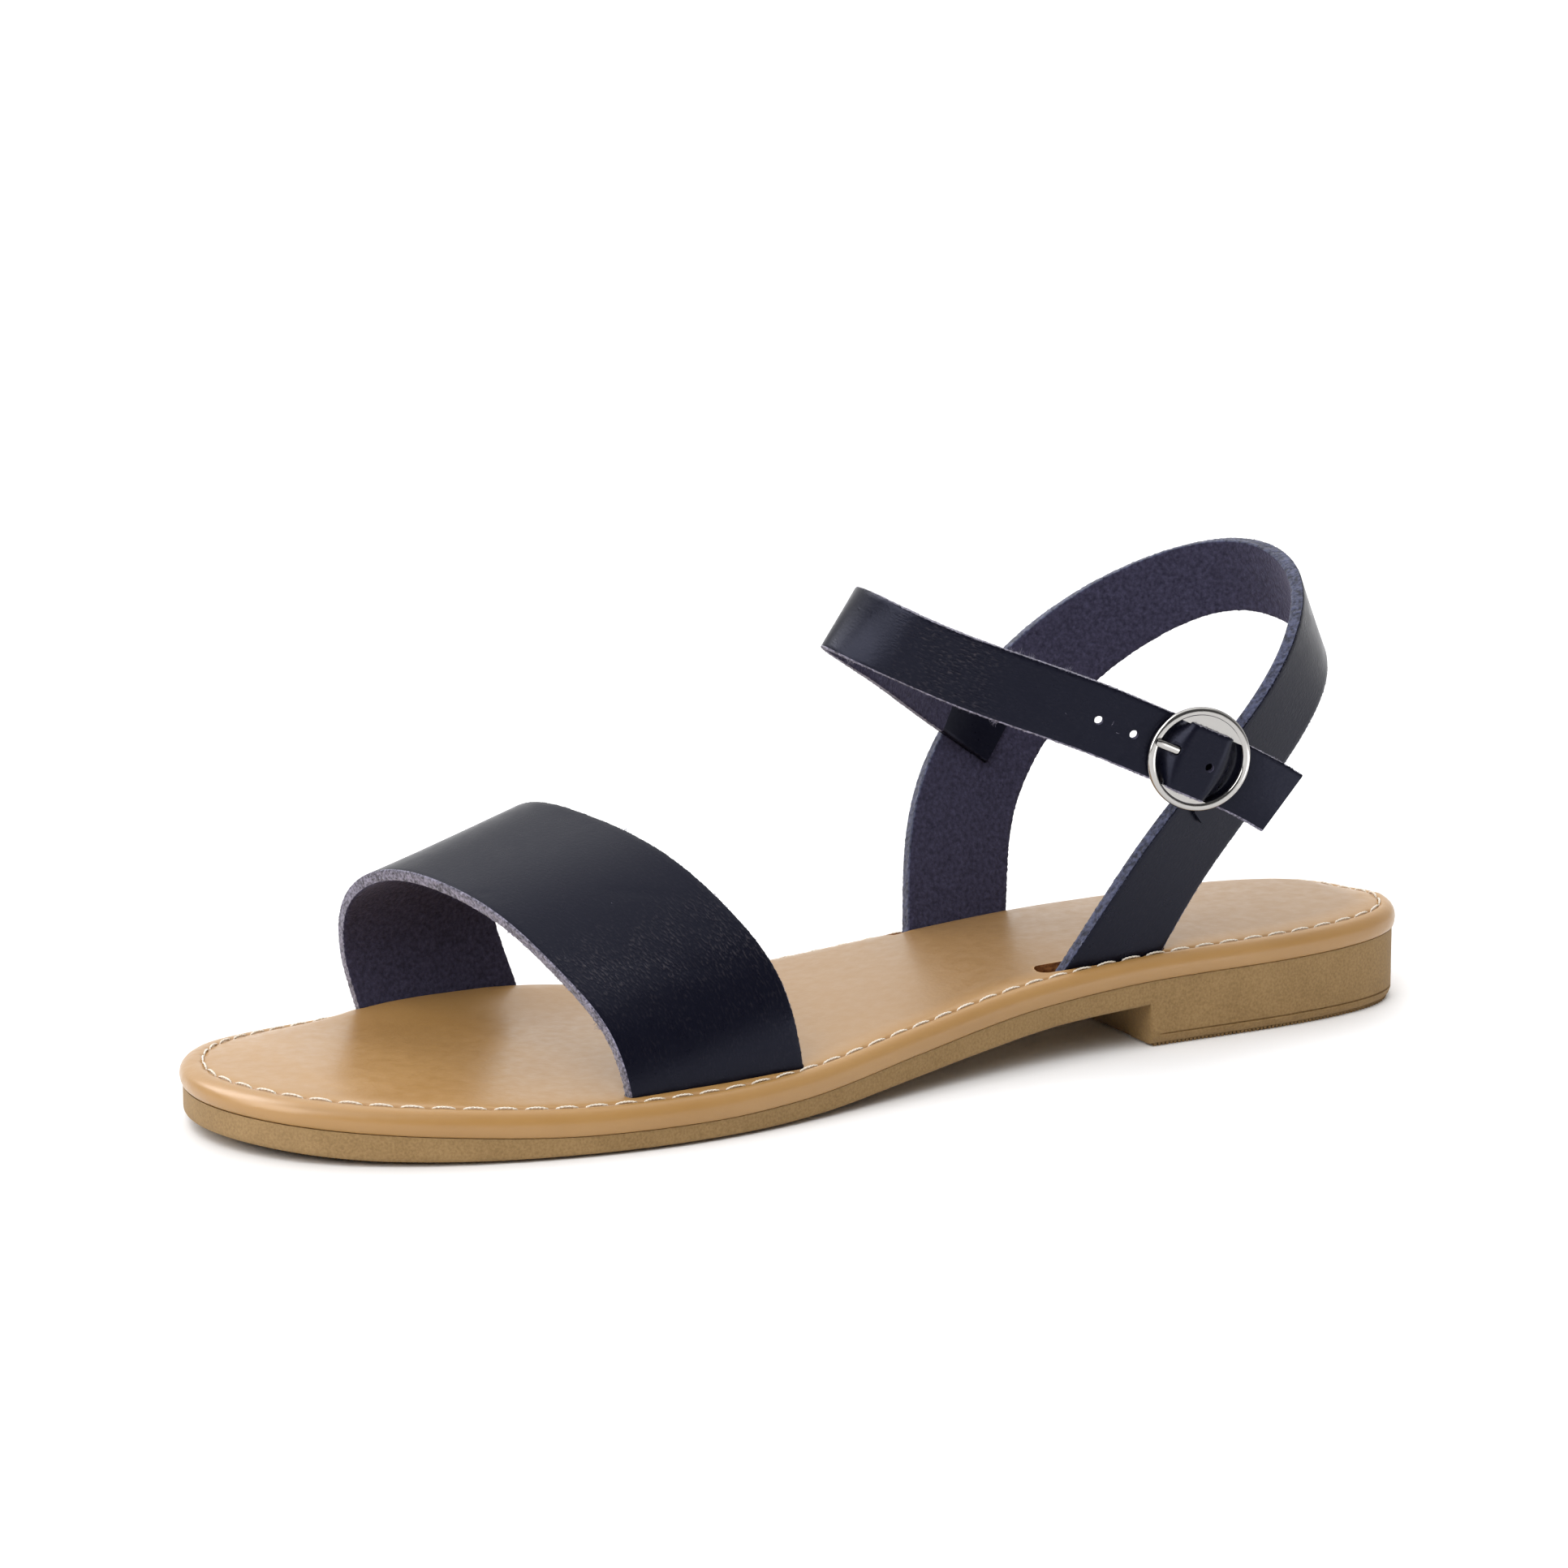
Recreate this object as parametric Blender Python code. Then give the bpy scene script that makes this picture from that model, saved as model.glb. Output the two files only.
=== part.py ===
"""A flat left sandal: moulded outsole, rolled footbed, toe strap, heel and ankle straps, ring buckle.

Sizes are in millimetres along stations counted from the back of the heel; the toe points to -Y
and the outer side of the foot is +X.
"""
import math

import bmesh
import bpy
import numpy as np
from mathutils import Matrix, Vector

MM = 0.001
HEEL_BACK = -1.6
TOE_TIP = (-3.0, 252.0)
CENTRE_X = 0.95
CENTRE_STATION = (HEEL_BACK + TOE_TIP[1]) / 2
FIT_GAP = 0.3

# Plan of the footbed: station from the heel back, reach to the outer side, reach to the inner side
OUTLINE = (
    (4.0, 18.4, 15.8),
    (24.0, 26.2, 25.7),
    (46.0, 27.4, 26.5),
    (78.0, 28.0, 26.2),
    (112.0, 33.0, 30.2),
    (150.0, 41.6, 39.4),
    (178.0, 44.0, 45.0),
    (205.0, 40.0, 45.0),
    (229.0, 30.6, 37.0),
    (245.0, 17.0, 23.4),
)
OUTLINE_POINTS = 600
SOLE_ROWS = 38
SOLE_COLUMNS = 8
ROW_CLEARANCE = 2.5

# Underside of the footbed along the foot: station, height
FOOTBED_UNDERSIDE = (
    (-1.6, 14.5),
    (30.0, 13.7),
    (60.0, 13.4),
    (90.0, 11.7),
    (120.0, 8.0),
    (150.0, 4.5),
    (168.0, 3.9),
    (190.0, 4.0),
    (220.0, 5.5),
    (252.0, 7.7),
)
# Ground side of the outsole ahead of the heel: station, height
ARCH_UNDERSIDE = (
    (65.1, 7.9),
    (85.0, 6.9),
    (105.0, 4.7),
    (125.0, 2.4),
    (145.0, 0.45),
    (160.0, 0.0),
    (205.0, 0.0),
    (228.0, 0.4),
    (252.0, 2.1),
)
HEEL_BREAST = 65.1
BREAST_RUN = 0.4
GROOVE_END = 64.1
FOREFOOT_FLAT = (160.0, 205.0)

# Rolled edge of the footbed: inset from the outline, height above its underside
FOOTBED_EDGE = (
    (0.9, 0.0),
    (0.25, 0.4),
    (0.0, 1.8),
    (0.2, 2.9),
    (0.9, 3.8),
    (2.2, 4.4),
    (4.6, 4.7),
    (8.0, 5.1),
)
FOOTBED_BANK = 0.0026
FOOTBED_CROWN = 0.4
# Swelling of the pad at the toe strap's inner slot: x, station, reach across, reach along, height
PAD_SWELL = (-38.0, 180.0, 12.0, 26.0, 2.2)
CROWN_FULL_WIDTH = 45.0

# Side of the outsole under the heel: inset from the outline, share of the way up from the ground
OUTSOLE_EDGE = (
    (2.2, 0.0),
    (1.15, 0.03),
    (0.7, 0.085),
    (0.6, 0.16),
    (0.95, 0.175),
    (0.95, 0.19),
    (0.6, 0.205),
    (0.6, 1.0),
)
GROOVE_RINGS = (4, 5)
GROOVE_INSET = 0.35

# Toe strap, inner slot to outer slot: x and height of the front edge, x and height of the back edge
TOE_STRAP = (
    (-38.1, 4.6, -38.2, 4.4),
    (-38.4, 8.1, -38.5, 7.9),
    (-40.7, 19.5, -42.0, 23.7),
    (-37.6, 31.7, -38.0, 39.5),
    (-25.1, 40.2, -27.6, 49.1),
    (-8.1, 41.6, -9.6, 50.4),
    (10.1, 37.7, 10.4, 46.2),
    (25.3, 29.6, 24.5, 38.4),
    (35.7, 21.0, 34.9, 27.5),
    (39.3, 7.8, 37.7, 9.8),
    (39.2, 4.6, 37.5, 4.4),
)
TOE_FRONT_STATIONS = (203.0, 184.3)
TOE_BACK_STATIONS = (169.5, 147.2)
TOE_FRONT_LEAN = -8.6
TOE_BACK_LEAN = -9.9
TOE_SLOT_X = (-38.5, 38.0)
TOE_SLOT_HEIGHT = 9.9
TOE_STEPS = 34
TOE_COLUMNS = 4
TOE_THICKNESS = 2.3
TOE_END_HEIGHT = 5.9

# Heel strap, inner slot round the back to outer slot: x, station, height, lean, width
HEEL_STRAP = (
    (-20.2, 83.7, 6.7, -43.0, 22.6),
    (-23.0, 81.0, 17.2, -41.3, 22.6),
    (-28.5, 76.0, 36.7, -33.3, 21.6),
    (-32.3, 63.0, 54.9, -13.9, 19.2),
    (-27.9, 39.7, 73.4, 2.6, 15.9),
    (-13.8, 20.4, 81.9, 7.1, 14.3),
    (4.5, 17.8, 79.9, 21.2, 15.2),
    (20.6, 26.7, 70.5, 21.4, 16.6),
    (25.9, 44.3, 52.3, 4.5, 17.7),
    (26.7, 59.3, 37.2, -13.7, 18.5),
    (24.5, 71.9, 18.3, -28.4, 18.4),
    (22.9, 79.2, 6.8, -32.0, 18.4),
)
HEEL_THICKNESS = 2.6
HEEL_OUTER = 0.3
HEEL_STEPS = 64
HEEL_FINE_STEPS = 512
HEEL_COLUMNS = 3
HEEL_END_HEIGHT = 14.3
HEEL_SLOT_BEHIND = 0.8
HEEL_SLOT_AHEAD = 3.0

# Ankle strap, end inside the heel strap to the free tip: x, station, height, lean, width
ANKLE_STRAP = (
    (-29.6, 66.2, 50.7, -10.0, 13.5),
    (-30.8, 73.2, 56.0, -2.0, 13.5),
    (-29.4, 81.6, 61.9, 5.0, 13.5),
    (-21.2, 98.2, 72.9, 17.6, 13.4),
    (-8.6, 113.4, 82.6, 34.0, 13.4),
    (2.8, 111.1, 81.0, 19.0, 13.5),
    (14.1, 98.8, 74.7, 15.5, 13.6),
    (25.2, 76.4, 65.4, 4.0, 13.5),
    (28.4, 67.8, 61.3, -1.0, 13.4),
    (31.1, 58.9, 57.1, -8.0, 13.4),
    (33.5, 50.6, 52.9, -15.5, 13.3),
    (35.7, 41.7, 47.5, -22.0, 13.1),
)
ANKLE_THICKNESS = 1.5
ANKLE_OUTER = 0.75
ANKLE_FAR_STEPS = 46
ANKLE_NEAR_STEPS = 44
ANKLE_NEAR_FROM = 0.76
ANKLE_COLUMNS = 6
LOOP_CENTRE = (0.0, 60.0)

# Ring buckle: centre, facing, slope of the strap through it
BUCKLE_CENTRE = (33.1, 59.4, 57.7)
BUCKLE_FACING = 72.7
BUCKLE_SLOPE = 25.0
RING_RADIUS = 9.25
RING_WIRE = 0.85
RING_STEPS = 44
WIRE_SIDES = 12
BAR_RADIUS = 0.6
BAR_DROP = 1.1
BAR_SIDES = 14
STRAP_RISE = 3.9
STRAP_RISE_REACH = 8.1
PRONG_HALF_WIDTH = 0.8
PRONG_HALF_DEPTH = 0.5
PRONG_EYE = 1.35
PRONG_REACH = 9.9
PRONG_EYE_TURNS = (-190.0, 96.0)
PRONG_EYE_STEPS = 15
PRONG_STEPS = 7
PRONG_SIDES = 12
TAB_HALF_WIDTH = 4.4
TAB_THICKNESS = 0.8
NOTCH_SIZE = (8.0, 2.6, 12.0)
NOTCH_SHIFT = -1.2

# Buckle tab, cut end to bar: reach across the heel strap, half run down it, lift off its face, slant
TAB_ROWS = (
    (2.0, 6.7, 0.25, 0.0),
    (5.6, 6.5, 0.25, 0.0),
    (9.6, 4.6, 0.3, -0.05),
    (12.0, 4.2, -0.6, -0.25),
    (14.4, 4.0, -1.2, -0.42),
)
TAB_COLUMNS = 6
FOLD_SIDES = 20

# Punched holes in the ankle strap: distance along the strap from the buckle bar
HOLES = (-20.7, -13.3, 3.4)
HOLE_RADIUS = 0.9
HOLE_SIDES = 12

COLOURS = {
    "outsole": ((0.30, 0.215, 0.115), 0.75, 0.0),
    "footbed": ((0.56, 0.34, 0.155), 0.45, 0.0),
    "leather": ((0.012, 0.013, 0.018), 0.45, 0.0),
    "buckle": ((0.80, 0.79, 0.77), 0.15, 1.0),
}


def material(name):
    """The named finish as a surface material."""
    colour, roughness, metallic = COLOURS[name]
    made = bpy.data.materials.get(name) or bpy.data.materials.new(name)
    made.use_nodes = True
    shader = made.node_tree.nodes["Principled BSDF"]
    shader.inputs["Base Color"].default_value = (*colour, 1.0)
    shader.inputs["Roughness"].default_value = roughness
    shader.inputs["Metallic"].default_value = metallic
    made.diffuse_color = (*colour, 1.0)
    return made


def at(x, station, height):
    """Metres for a place given by x, station and height in millimetres."""
    return np.stack([(x + CENTRE_X) * MM, (CENTRE_STATION - station) * MM, height * MM], axis=-1)


def solid(name, verts, faces, finish, smooth_angle=40.0):
    """One closed body from points and faces, facing outwards and shaded by angle."""
    build = bmesh.new()
    points = [build.verts.new(tuple(p)) for p in verts]
    for face in faces:
        build.faces.new([points[i] for i in face])
    bmesh.ops.recalc_face_normals(build, faces=build.faces)
    mesh = bpy.data.meshes.new(name)
    build.to_mesh(mesh)
    build.free()
    made = bpy.data.objects.new(name, mesh)
    bpy.context.collection.objects.link(made)
    made.data.materials.append(material(finish))
    shade(made, smooth_angle)
    return made


def shade(made, smooth_angle):
    """Smooth shading that keeps edges sharper than the angle."""
    made.data.polygons.foreach_set("use_smooth", [True] * len(made.data.polygons))
    made.data.set_sharp_from_angle(angle=math.radians(smooth_angle))


def combine(base, other, operation):
    """Boolean of two bodies; the second one is used up."""
    other.hide_render = True
    other.display_type = "WIRE"
    change = base.modifiers.new(operation, "BOOLEAN")
    change.operation = operation
    change.solver = "EXACT"
    change.object = other
    graph = bpy.context.evaluated_depsgraph_get()
    result = bpy.data.meshes.new_from_object(base.evaluated_get(graph))
    base.modifiers.clear()
    old = base.data
    base.data = result
    result.name = base.name
    bpy.data.meshes.remove(old)
    bpy.data.objects.remove(other, do_unlink=True)
    return base


def trim_below(made, height):
    """Cut a body level at a height and keep what is above."""
    build = bmesh.new()
    build.from_mesh(made.data)
    every = list(build.verts) + list(build.edges) + list(build.faces)
    level = Vector((0.0, 0.0, height * MM))
    cut = bmesh.ops.bisect_plane(
        build, geom=every, plane_co=level, plane_no=Vector((0.0, 0.0, 1.0)), clear_inner=True
    )
    edges = [e for e in cut["geom_cut"] if isinstance(e, bmesh.types.BMEdge)]
    bmesh.ops.holes_fill(build, edges=edges)
    bmesh.ops.recalc_face_normals(build, faces=build.faces)
    build.to_mesh(made.data)
    build.free()


def spline(knots, values, where):
    """Cubic curve through rows of values, with even bending in the first and last two spans."""
    knots = np.asarray(knots, float)
    values = np.asarray(values, float)
    count = len(knots)
    span = np.diff(knots)
    rise = np.diff(values, axis=0) / span[:, None]
    system = np.zeros((count, count))
    target = np.zeros_like(values)
    for i in range(1, count - 1):
        system[i, i - 1] = span[i - 1]
        system[i, i] = 2.0 * (span[i - 1] + span[i])
        system[i, i + 1] = span[i]
        target[i] = 6.0 * (rise[i] - rise[i - 1])
    system[0, :3] = (span[1], -span[0] - span[1], span[0])
    system[-1, -3:] = (span[-1], -span[-2] - span[-1], span[-2])
    bend = np.linalg.solve(system, target)
    where = np.asarray(where, float)
    cell = np.clip(np.searchsorted(knots, where, side="right") - 1, 0, count - 2)
    width = span[cell][:, None]
    left = (knots[cell + 1] - where)[:, None]
    right = (where - knots[cell])[:, None]
    curve = (bend[cell] * left**3 + bend[cell + 1] * right**3) / (6.0 * width)
    curve += (values[cell] / width - bend[cell] * width / 6.0) * left
    curve += (values[cell + 1] / width - bend[cell + 1] * width / 6.0) * right
    return curve


def height_along(table, station):
    """Height at stations, smooth and turning only where the rows turn."""
    knots, values = np.array(table, float).T
    span = np.diff(knots)
    rise = np.diff(values) / span
    slope = np.zeros(len(knots))
    slope[0] = rise[0]
    slope[-1] = rise[-1]
    for i in range(1, len(knots) - 1):
        if rise[i - 1] * rise[i] > 0.0:
            slope[i] = 2.0 * rise[i - 1] * rise[i] / (rise[i - 1] + rise[i])
    station = np.clip(np.asarray(station, float), knots[0], knots[-1])
    cell = np.clip(np.searchsorted(knots, station, side="right") - 1, 0, len(span) - 1)
    share = (station - knots[cell]) / span[cell]
    result = values[cell] * (1.0 + 2.0 * share) * (1.0 - share) ** 2
    result += values[cell + 1] * share**2 * (3.0 - 2.0 * share)
    result += slope[cell] * span[cell] * share * (1.0 - share) ** 2
    result += slope[cell + 1] * span[cell] * share**2 * (share - 1.0)
    return result


def outline_branches():
    """Dense plan points of the outer side and the inner side, heel back to toe tip."""
    outer = [(row[1], row[0]) for row in OUTLINE]
    inner = [(-row[2], row[0]) for row in reversed(OUTLINE)]
    loop = np.array([(0.0, HEEL_BACK)] + outer + [TOE_TIP] + inner, float)
    count = len(loop)
    wrapped = np.concatenate([loop[-4:], loop, loop[:5]])
    chord = np.linalg.norm(np.diff(wrapped, axis=0), axis=1)
    knots = np.concatenate([[0.0], np.cumsum(np.sqrt(chord))])
    start = knots[4]
    tip = knots[4 + len(OUTLINE) + 1]
    end = knots[4 + count]
    outer_side = spline(knots, wrapped, np.linspace(start, tip, OUTLINE_POINTS))
    inner_side = spline(knots, wrapped, np.linspace(end, tip, OUTLINE_POINTS))
    return outer_side, inner_side


def sole_stations():
    """Stations of the cross rows, close at both ends, with rows on the breast and the flat."""
    steps = np.arange(1, SOLE_ROWS) * math.pi / SOLE_ROWS
    even = CENTRE_STATION + (HEEL_BACK - CENTRE_STATION) * np.cos(steps)
    fixed = np.array([HEEL_BREAST, HEEL_BREAST + BREAST_RUN, *FOREFOOT_FLAT])
    clear = [s for s in even if np.min(np.abs(fixed - s)) > ROW_CLEARANCE]
    return np.sort(np.concatenate([clear, fixed]))


def outline_ring(inset):
    """Plan ring set in from the outline: x and station, heel back, outer side, toe tip, inner side."""
    outer_side, inner_side = outline_branches()
    stations = sole_stations()
    outer = np.interp(stations, outer_side[:, 1], outer_side[:, 0])
    inner = np.interp(stations, inner_side[:, 1], inner_side[:, 0])
    x = np.concatenate([[0.0], outer, [TOE_TIP[0]], inner[::-1]])
    station = np.concatenate([[HEEL_BACK], stations, [TOE_TIP[1]], stations[::-1]])
    plan = np.stack([x, station], axis=1)
    along = np.roll(plan, -1, axis=0) - np.roll(plan, 1, axis=0)
    along /= np.linalg.norm(along, axis=1)[:, None]
    inward = np.stack([-along[:, 1], along[:, 0]], axis=1)
    return plan + inward * inset


def sole_body(name, rings, lower_height, upper_height, finish):
    """Closed sole body from stacked rings, with a grid across its underside and its top."""
    size = len(rings[0])
    half = size // 2
    verts = list(np.concatenate([at(*ring.T) for ring in rings]))
    faces = []
    for level in range(len(rings) - 1):
        low = level * size
        for k in range(size):
            after = (k + 1) % size
            faces.append((low + k, low + after, low + size + after, low + size + k))
    for level, height in ((0, lower_height), (len(rings) - 1, upper_height)):
        ring = rings[level]
        first = level * size
        rows = [[first]]
        for k in range(1, half):
            row = [first + k]
            width = np.linalg.norm(ring[k] - ring[size - k])
            for column in range(1, SOLE_COLUMNS):
                share = column / SOLE_COLUMNS
                spot = ring[k] * (1.0 - share) + ring[size - k] * share
                row.append(len(verts))
                verts.append(at(spot[0], spot[1], height(spot, share, width)))
            rows.append(row + [first + size - k])
        rows.append([first + half])
        for near, far in zip(rows[:-1], rows[1:]):
            for j in range(SOLE_COLUMNS):
                if len(near) == 1:
                    faces.append((near[0], far[j], far[j + 1]))
                elif len(far) == 1:
                    faces.append((near[j], far[0], near[j + 1]))
                else:
                    faces.append((near[j], far[j], far[j + 1], near[j + 1]))
    return solid(name, verts, faces, finish)


def with_height(plan, height):
    """Ring of x, station and height."""
    return np.column_stack([plan, height])


def ground_side(station):
    """Height of the outsole's ground side: level heel block, breast step, arch and toe spring."""
    station = np.asarray(station, float)
    arch = height_along(ARCH_UNDERSIDE, station)
    return np.where(station < HEEL_BREAST + BREAST_RUN / 2, 0.0, arch)


def footbed_height(x, station, rise):
    """Height of a footbed layer, which thickens towards the outer side and at the toe strap's inner slot."""
    middle_x, middle_station, across, along, height = PAD_SWELL
    swell = height * np.exp(-((x - middle_x) / across) ** 2 - ((station - middle_station) / along) ** 4)
    thickness = FOOTBED_EDGE[-1][1]
    return height_along(FOOTBED_UNDERSIDE, station) + rise * (1.0 + FOOTBED_BANK * x + swell / thickness)


def make_footbed():
    """Footbed with a rolled edge and a slightly crowned top."""
    rings = []
    for inset, rise in FOOTBED_EDGE:
        plan = outline_ring(inset)
        rings.append(with_height(plan, footbed_height(plan[:, 0], plan[:, 1], rise)))

    def under(spot, share, width):
        return height_along(FOOTBED_UNDERSIDE, spot[1])

    def top(spot, share, width):
        crown = FOOTBED_CROWN * 4.0 * share * (1.0 - share) * min(1.0, width / CROWN_FULL_WIDTH) ** 2
        return footbed_height(spot[0], spot[1], FOOTBED_EDGE[-1][1] + crown)

    return sole_body("footbed", rings, under, top, "footbed")


def make_outsole():
    """Moulded outsole with its heel block, heel groove, arch and toe spring."""
    rings = []
    for level, (inset, share) in enumerate(OUTSOLE_EDGE):
        plan = outline_ring(inset)
        if level in GROOVE_RINGS:
            plain = outline_ring(inset - GROOVE_INSET)
            plan = np.where((plan[:, 1] < GROOVE_END)[:, None], plan, plain)
        low = ground_side(plan[:, 1])
        high = height_along(FOOTBED_UNDERSIDE, plan[:, 1]) - FIT_GAP
        rings.append(with_height(plan, low + (high - low) * share))

    def under(spot, share, width):
        return ground_side(spot[1])

    def top(spot, share, width):
        return height_along(FOOTBED_UNDERSIDE, spot[1]) - FIT_GAP

    return sole_body("outsole", rings, under, top, "outsole")


def unit(vectors):
    """Vectors scaled to length one."""
    return vectors / np.linalg.norm(vectors, axis=-1, keepdims=True)


def sheet_body(name, outer, inner, finish):
    """Closed wall between two grids of points, rows along and columns across."""
    rows, columns = outer.shape[:2]
    verts = np.concatenate([outer.reshape(-1, 3), inner.reshape(-1, 3)])
    shift = rows * columns
    faces = []
    for i in range(rows - 1):
        for j in range(columns - 1):
            a = i * columns + j
            faces.append((a, a + 1, a + columns + 1, a + columns))
            faces.append((shift + a, shift + a + columns, shift + a + columns + 1, shift + a + 1))
        for j in (0, columns - 1):
            a = i * columns + j
            faces.append((a, a + columns, shift + a + columns, shift + a))
    for i in (0, rows - 1):
        for j in range(columns - 1):
            a = i * columns + j
            faces.append((a, a + 1, shift + a + 1, shift + a))
    return solid(name, verts, faces, finish)


def toe_edge(column, stations, lean):
    """One edge of the toe strap as places in metres."""
    table = np.array(TOE_STRAP)[:, column:column + 2]
    chord = np.linalg.norm(np.diff(table, axis=0), axis=1)
    knots = np.concatenate([[0.0], np.cumsum(chord)])
    edge = spline(knots, table, np.linspace(0.0, knots[-1], TOE_STEPS + 1))
    share = (edge[:, 0] - TOE_SLOT_X[0]) / (TOE_SLOT_X[1] - TOE_SLOT_X[0])
    station = stations[0] + share * (stations[1] - stations[0])
    station = station - (edge[:, 1] - TOE_SLOT_HEIGHT) * math.tan(math.radians(lean))
    return at(edge[:, 0], station, edge[:, 1])


def toe_sheet(name, grow, overhang):
    """Toe strap wall between its front and back edges, widened by a fit gap where asked."""
    front = toe_edge(0, TOE_FRONT_STATIONS, TOE_FRONT_LEAN)
    back = toe_edge(2, TOE_BACK_STATIONS, TOE_BACK_LEAN)
    across = unit(back - front)
    front = front - across * overhang * MM
    back = back + across * overhang * MM
    shares = np.linspace(0.0, 1.0, TOE_COLUMNS + 1)
    face = np.stack([front * (1.0 - s) + back * s for s in shares], axis=1)
    along = unit(np.gradient(face, axis=0))
    normal = unit(np.cross(along, across[:, None, :]))
    normal *= np.sign(normal[len(normal) // 2, 0, 2])
    outer = face + normal * grow * MM
    inner = face - normal * (TOE_THICKNESS + grow) * MM
    return sheet_body(name, outer, inner, "leather")


def make_toe_strap():
    """Toe strap arched over the foot, its ends level in the slots."""
    strap = toe_sheet("toe_strap", 0.0, 0.0)
    trim_below(strap, TOE_END_HEIGHT)
    return strap


def buckle_axes():
    """Buckle frame: along the strap towards its tip, along the bar upwards, and out of the ring."""
    facing = math.radians(BUCKLE_FACING)
    slope = math.radians(BUCKLE_SLOPE)
    out = np.array([math.sin(facing), -math.cos(facing), 0.0])
    level = np.array([math.cos(facing), math.sin(facing), 0.0])
    up = np.array([0.0, 0.0, 1.0])
    along = level * math.cos(slope) - up * math.sin(slope)
    bar = level * math.sin(slope) + up * math.cos(slope)
    return along, bar, out


def buckle_place(along_mm, bar_mm, out_mm):
    """Metres for a place in the buckle frame."""
    along, bar, out = buckle_axes()
    centre = at(*np.array(BUCKLE_CENTRE))
    return centre + (along * along_mm + bar * bar_mm + out * out_mm) * MM


def buckle_matrix(along_mm, bar_mm, out_mm):
    """Placement in the buckle frame: local X along the strap, local Y up the bar, local Z out."""
    along, bar, out = buckle_axes()
    turn = Matrix((along, bar, out)).transposed().to_4x4()
    return Matrix.Translation(Vector(buckle_place(along_mm, bar_mm, out_mm))) @ turn


class Band:
    """A strap swept along a curve: places, width directions, outward normals and half widths."""

    def __init__(self, table, shares):
        rows = np.array(table, float)
        chord = np.linalg.norm(np.diff(rows[:, :3], axis=0), axis=1)
        knots = np.concatenate([[0.0], np.cumsum(chord)])
        swept = spline(knots, rows, shares * knots[-1])
        self.place = at(swept[:, 0], swept[:, 1], swept[:, 2])
        self.half_width = swept[:, 4] / 2 * MM
        outward = self.place - at(*np.array([*LOOP_CENTRE, 0.0]))
        outward[:, 2] = 0.0
        along = unit(np.gradient(self.place, axis=0))
        level = unit(outward - np.sum(outward * along, axis=1)[:, None] * along)
        across = np.cross(along, level)
        across *= np.sign(np.mean(across[:, 2]))
        lean = np.radians(swept[:, 3])[:, None]
        self.across = np.cos(lean) * across - np.sin(lean) * level
        self.normal = np.cos(lean) * level + np.sin(lean) * across

    def run(self):
        """Distance along the strap in millimetres."""
        steps = np.linalg.norm(np.diff(self.place, axis=0), axis=1)
        return np.concatenate([[0.0], np.cumsum(steps)]) / MM

    def sheet(self, name, outer, thickness, columns, behind=0.0, ahead=0.0, over_bar=False):
        """Wall of the strap between an outer and an inner face, widened behind and ahead where asked."""
        low = -self.half_width - behind * MM
        high = self.half_width + ahead * MM
        reach = np.linspace(low, high, columns + 1, axis=1)
        face = self.place[:, None, :] + self.across[:, None, :] * reach[:, :, None]
        normal = np.repeat(self.normal[:, None, :], columns + 1, axis=1)
        if over_bar:
            face = lifted_over_bar(face)
            along = unit(np.gradient(face, axis=0))
            turned = unit(np.cross(np.gradient(face, axis=1), along))
            normal = turned * np.sign(np.sum(turned * normal, axis=2, keepdims=True))
        return sheet_body(
            name, face + normal * outer * MM, face + normal * (outer - thickness) * MM, "leather"
        )


def lifted_over_bar(face):
    """Strap face pushed out through the ring, over the bar and under both sides of the ring."""
    along, bar, out = buckle_axes()
    offset = (face - buckle_place(0.0, 0.0, 0.0)) / MM
    run = offset @ along
    room = np.sqrt(np.maximum(STRAP_RISE_REACH**2 - (offset @ bar) ** 2, 1.0))
    near = (np.abs(run) < room) & (np.abs(offset @ out) < RING_RADIUS)
    lift = np.where(near, STRAP_RISE * (1.0 + np.cos(math.pi * run / room)) / 2, 0.0)
    return face + lift[:, :, None] * out * MM


def slot_cutters():
    """Bodies that cut the four strap slots through the footbed."""
    toe = toe_sheet("toe_slots", FIT_GAP, FIT_GAP)
    band = Band(HEEL_STRAP, np.linspace(0.0, 1.0, HEEL_STEPS + 1))
    outer = HEEL_OUTER + FIT_GAP
    thickness = HEEL_THICKNESS + 2 * FIT_GAP
    heel = band.sheet("heel_slots", outer, thickness, HEEL_COLUMNS, HEEL_SLOT_BEHIND, HEEL_SLOT_AHEAD)
    return toe, heel


def rod(name, radius, length, placement, sides, finish):
    """A round rod along the placement's local Z."""
    build = bmesh.new()
    bmesh.ops.create_cone(
        build,
        cap_ends=True,
        segments=sides,
        radius1=radius * MM,
        radius2=radius * MM,
        depth=length * MM,
        matrix=placement,
    )
    mesh = bpy.data.meshes.new(name)
    build.to_mesh(mesh)
    build.free()
    made = bpy.data.objects.new(name, mesh)
    bpy.context.collection.objects.link(made)
    made.data.materials.append(material(finish))
    return made


def block(name, sizes, placement, finish):
    """A rectangular block centred on the placement."""
    build = bmesh.new()
    scale = Matrix.Diagonal((sizes[0] * MM, sizes[1] * MM, sizes[2] * MM, 1.0))
    bmesh.ops.create_cube(build, size=1.0, matrix=placement @ scale)
    mesh = bpy.data.meshes.new(name)
    build.to_mesh(mesh)
    build.free()
    made = bpy.data.objects.new(name, mesh)
    bpy.context.collection.objects.link(made)
    made.data.materials.append(material(finish))
    return made


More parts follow.
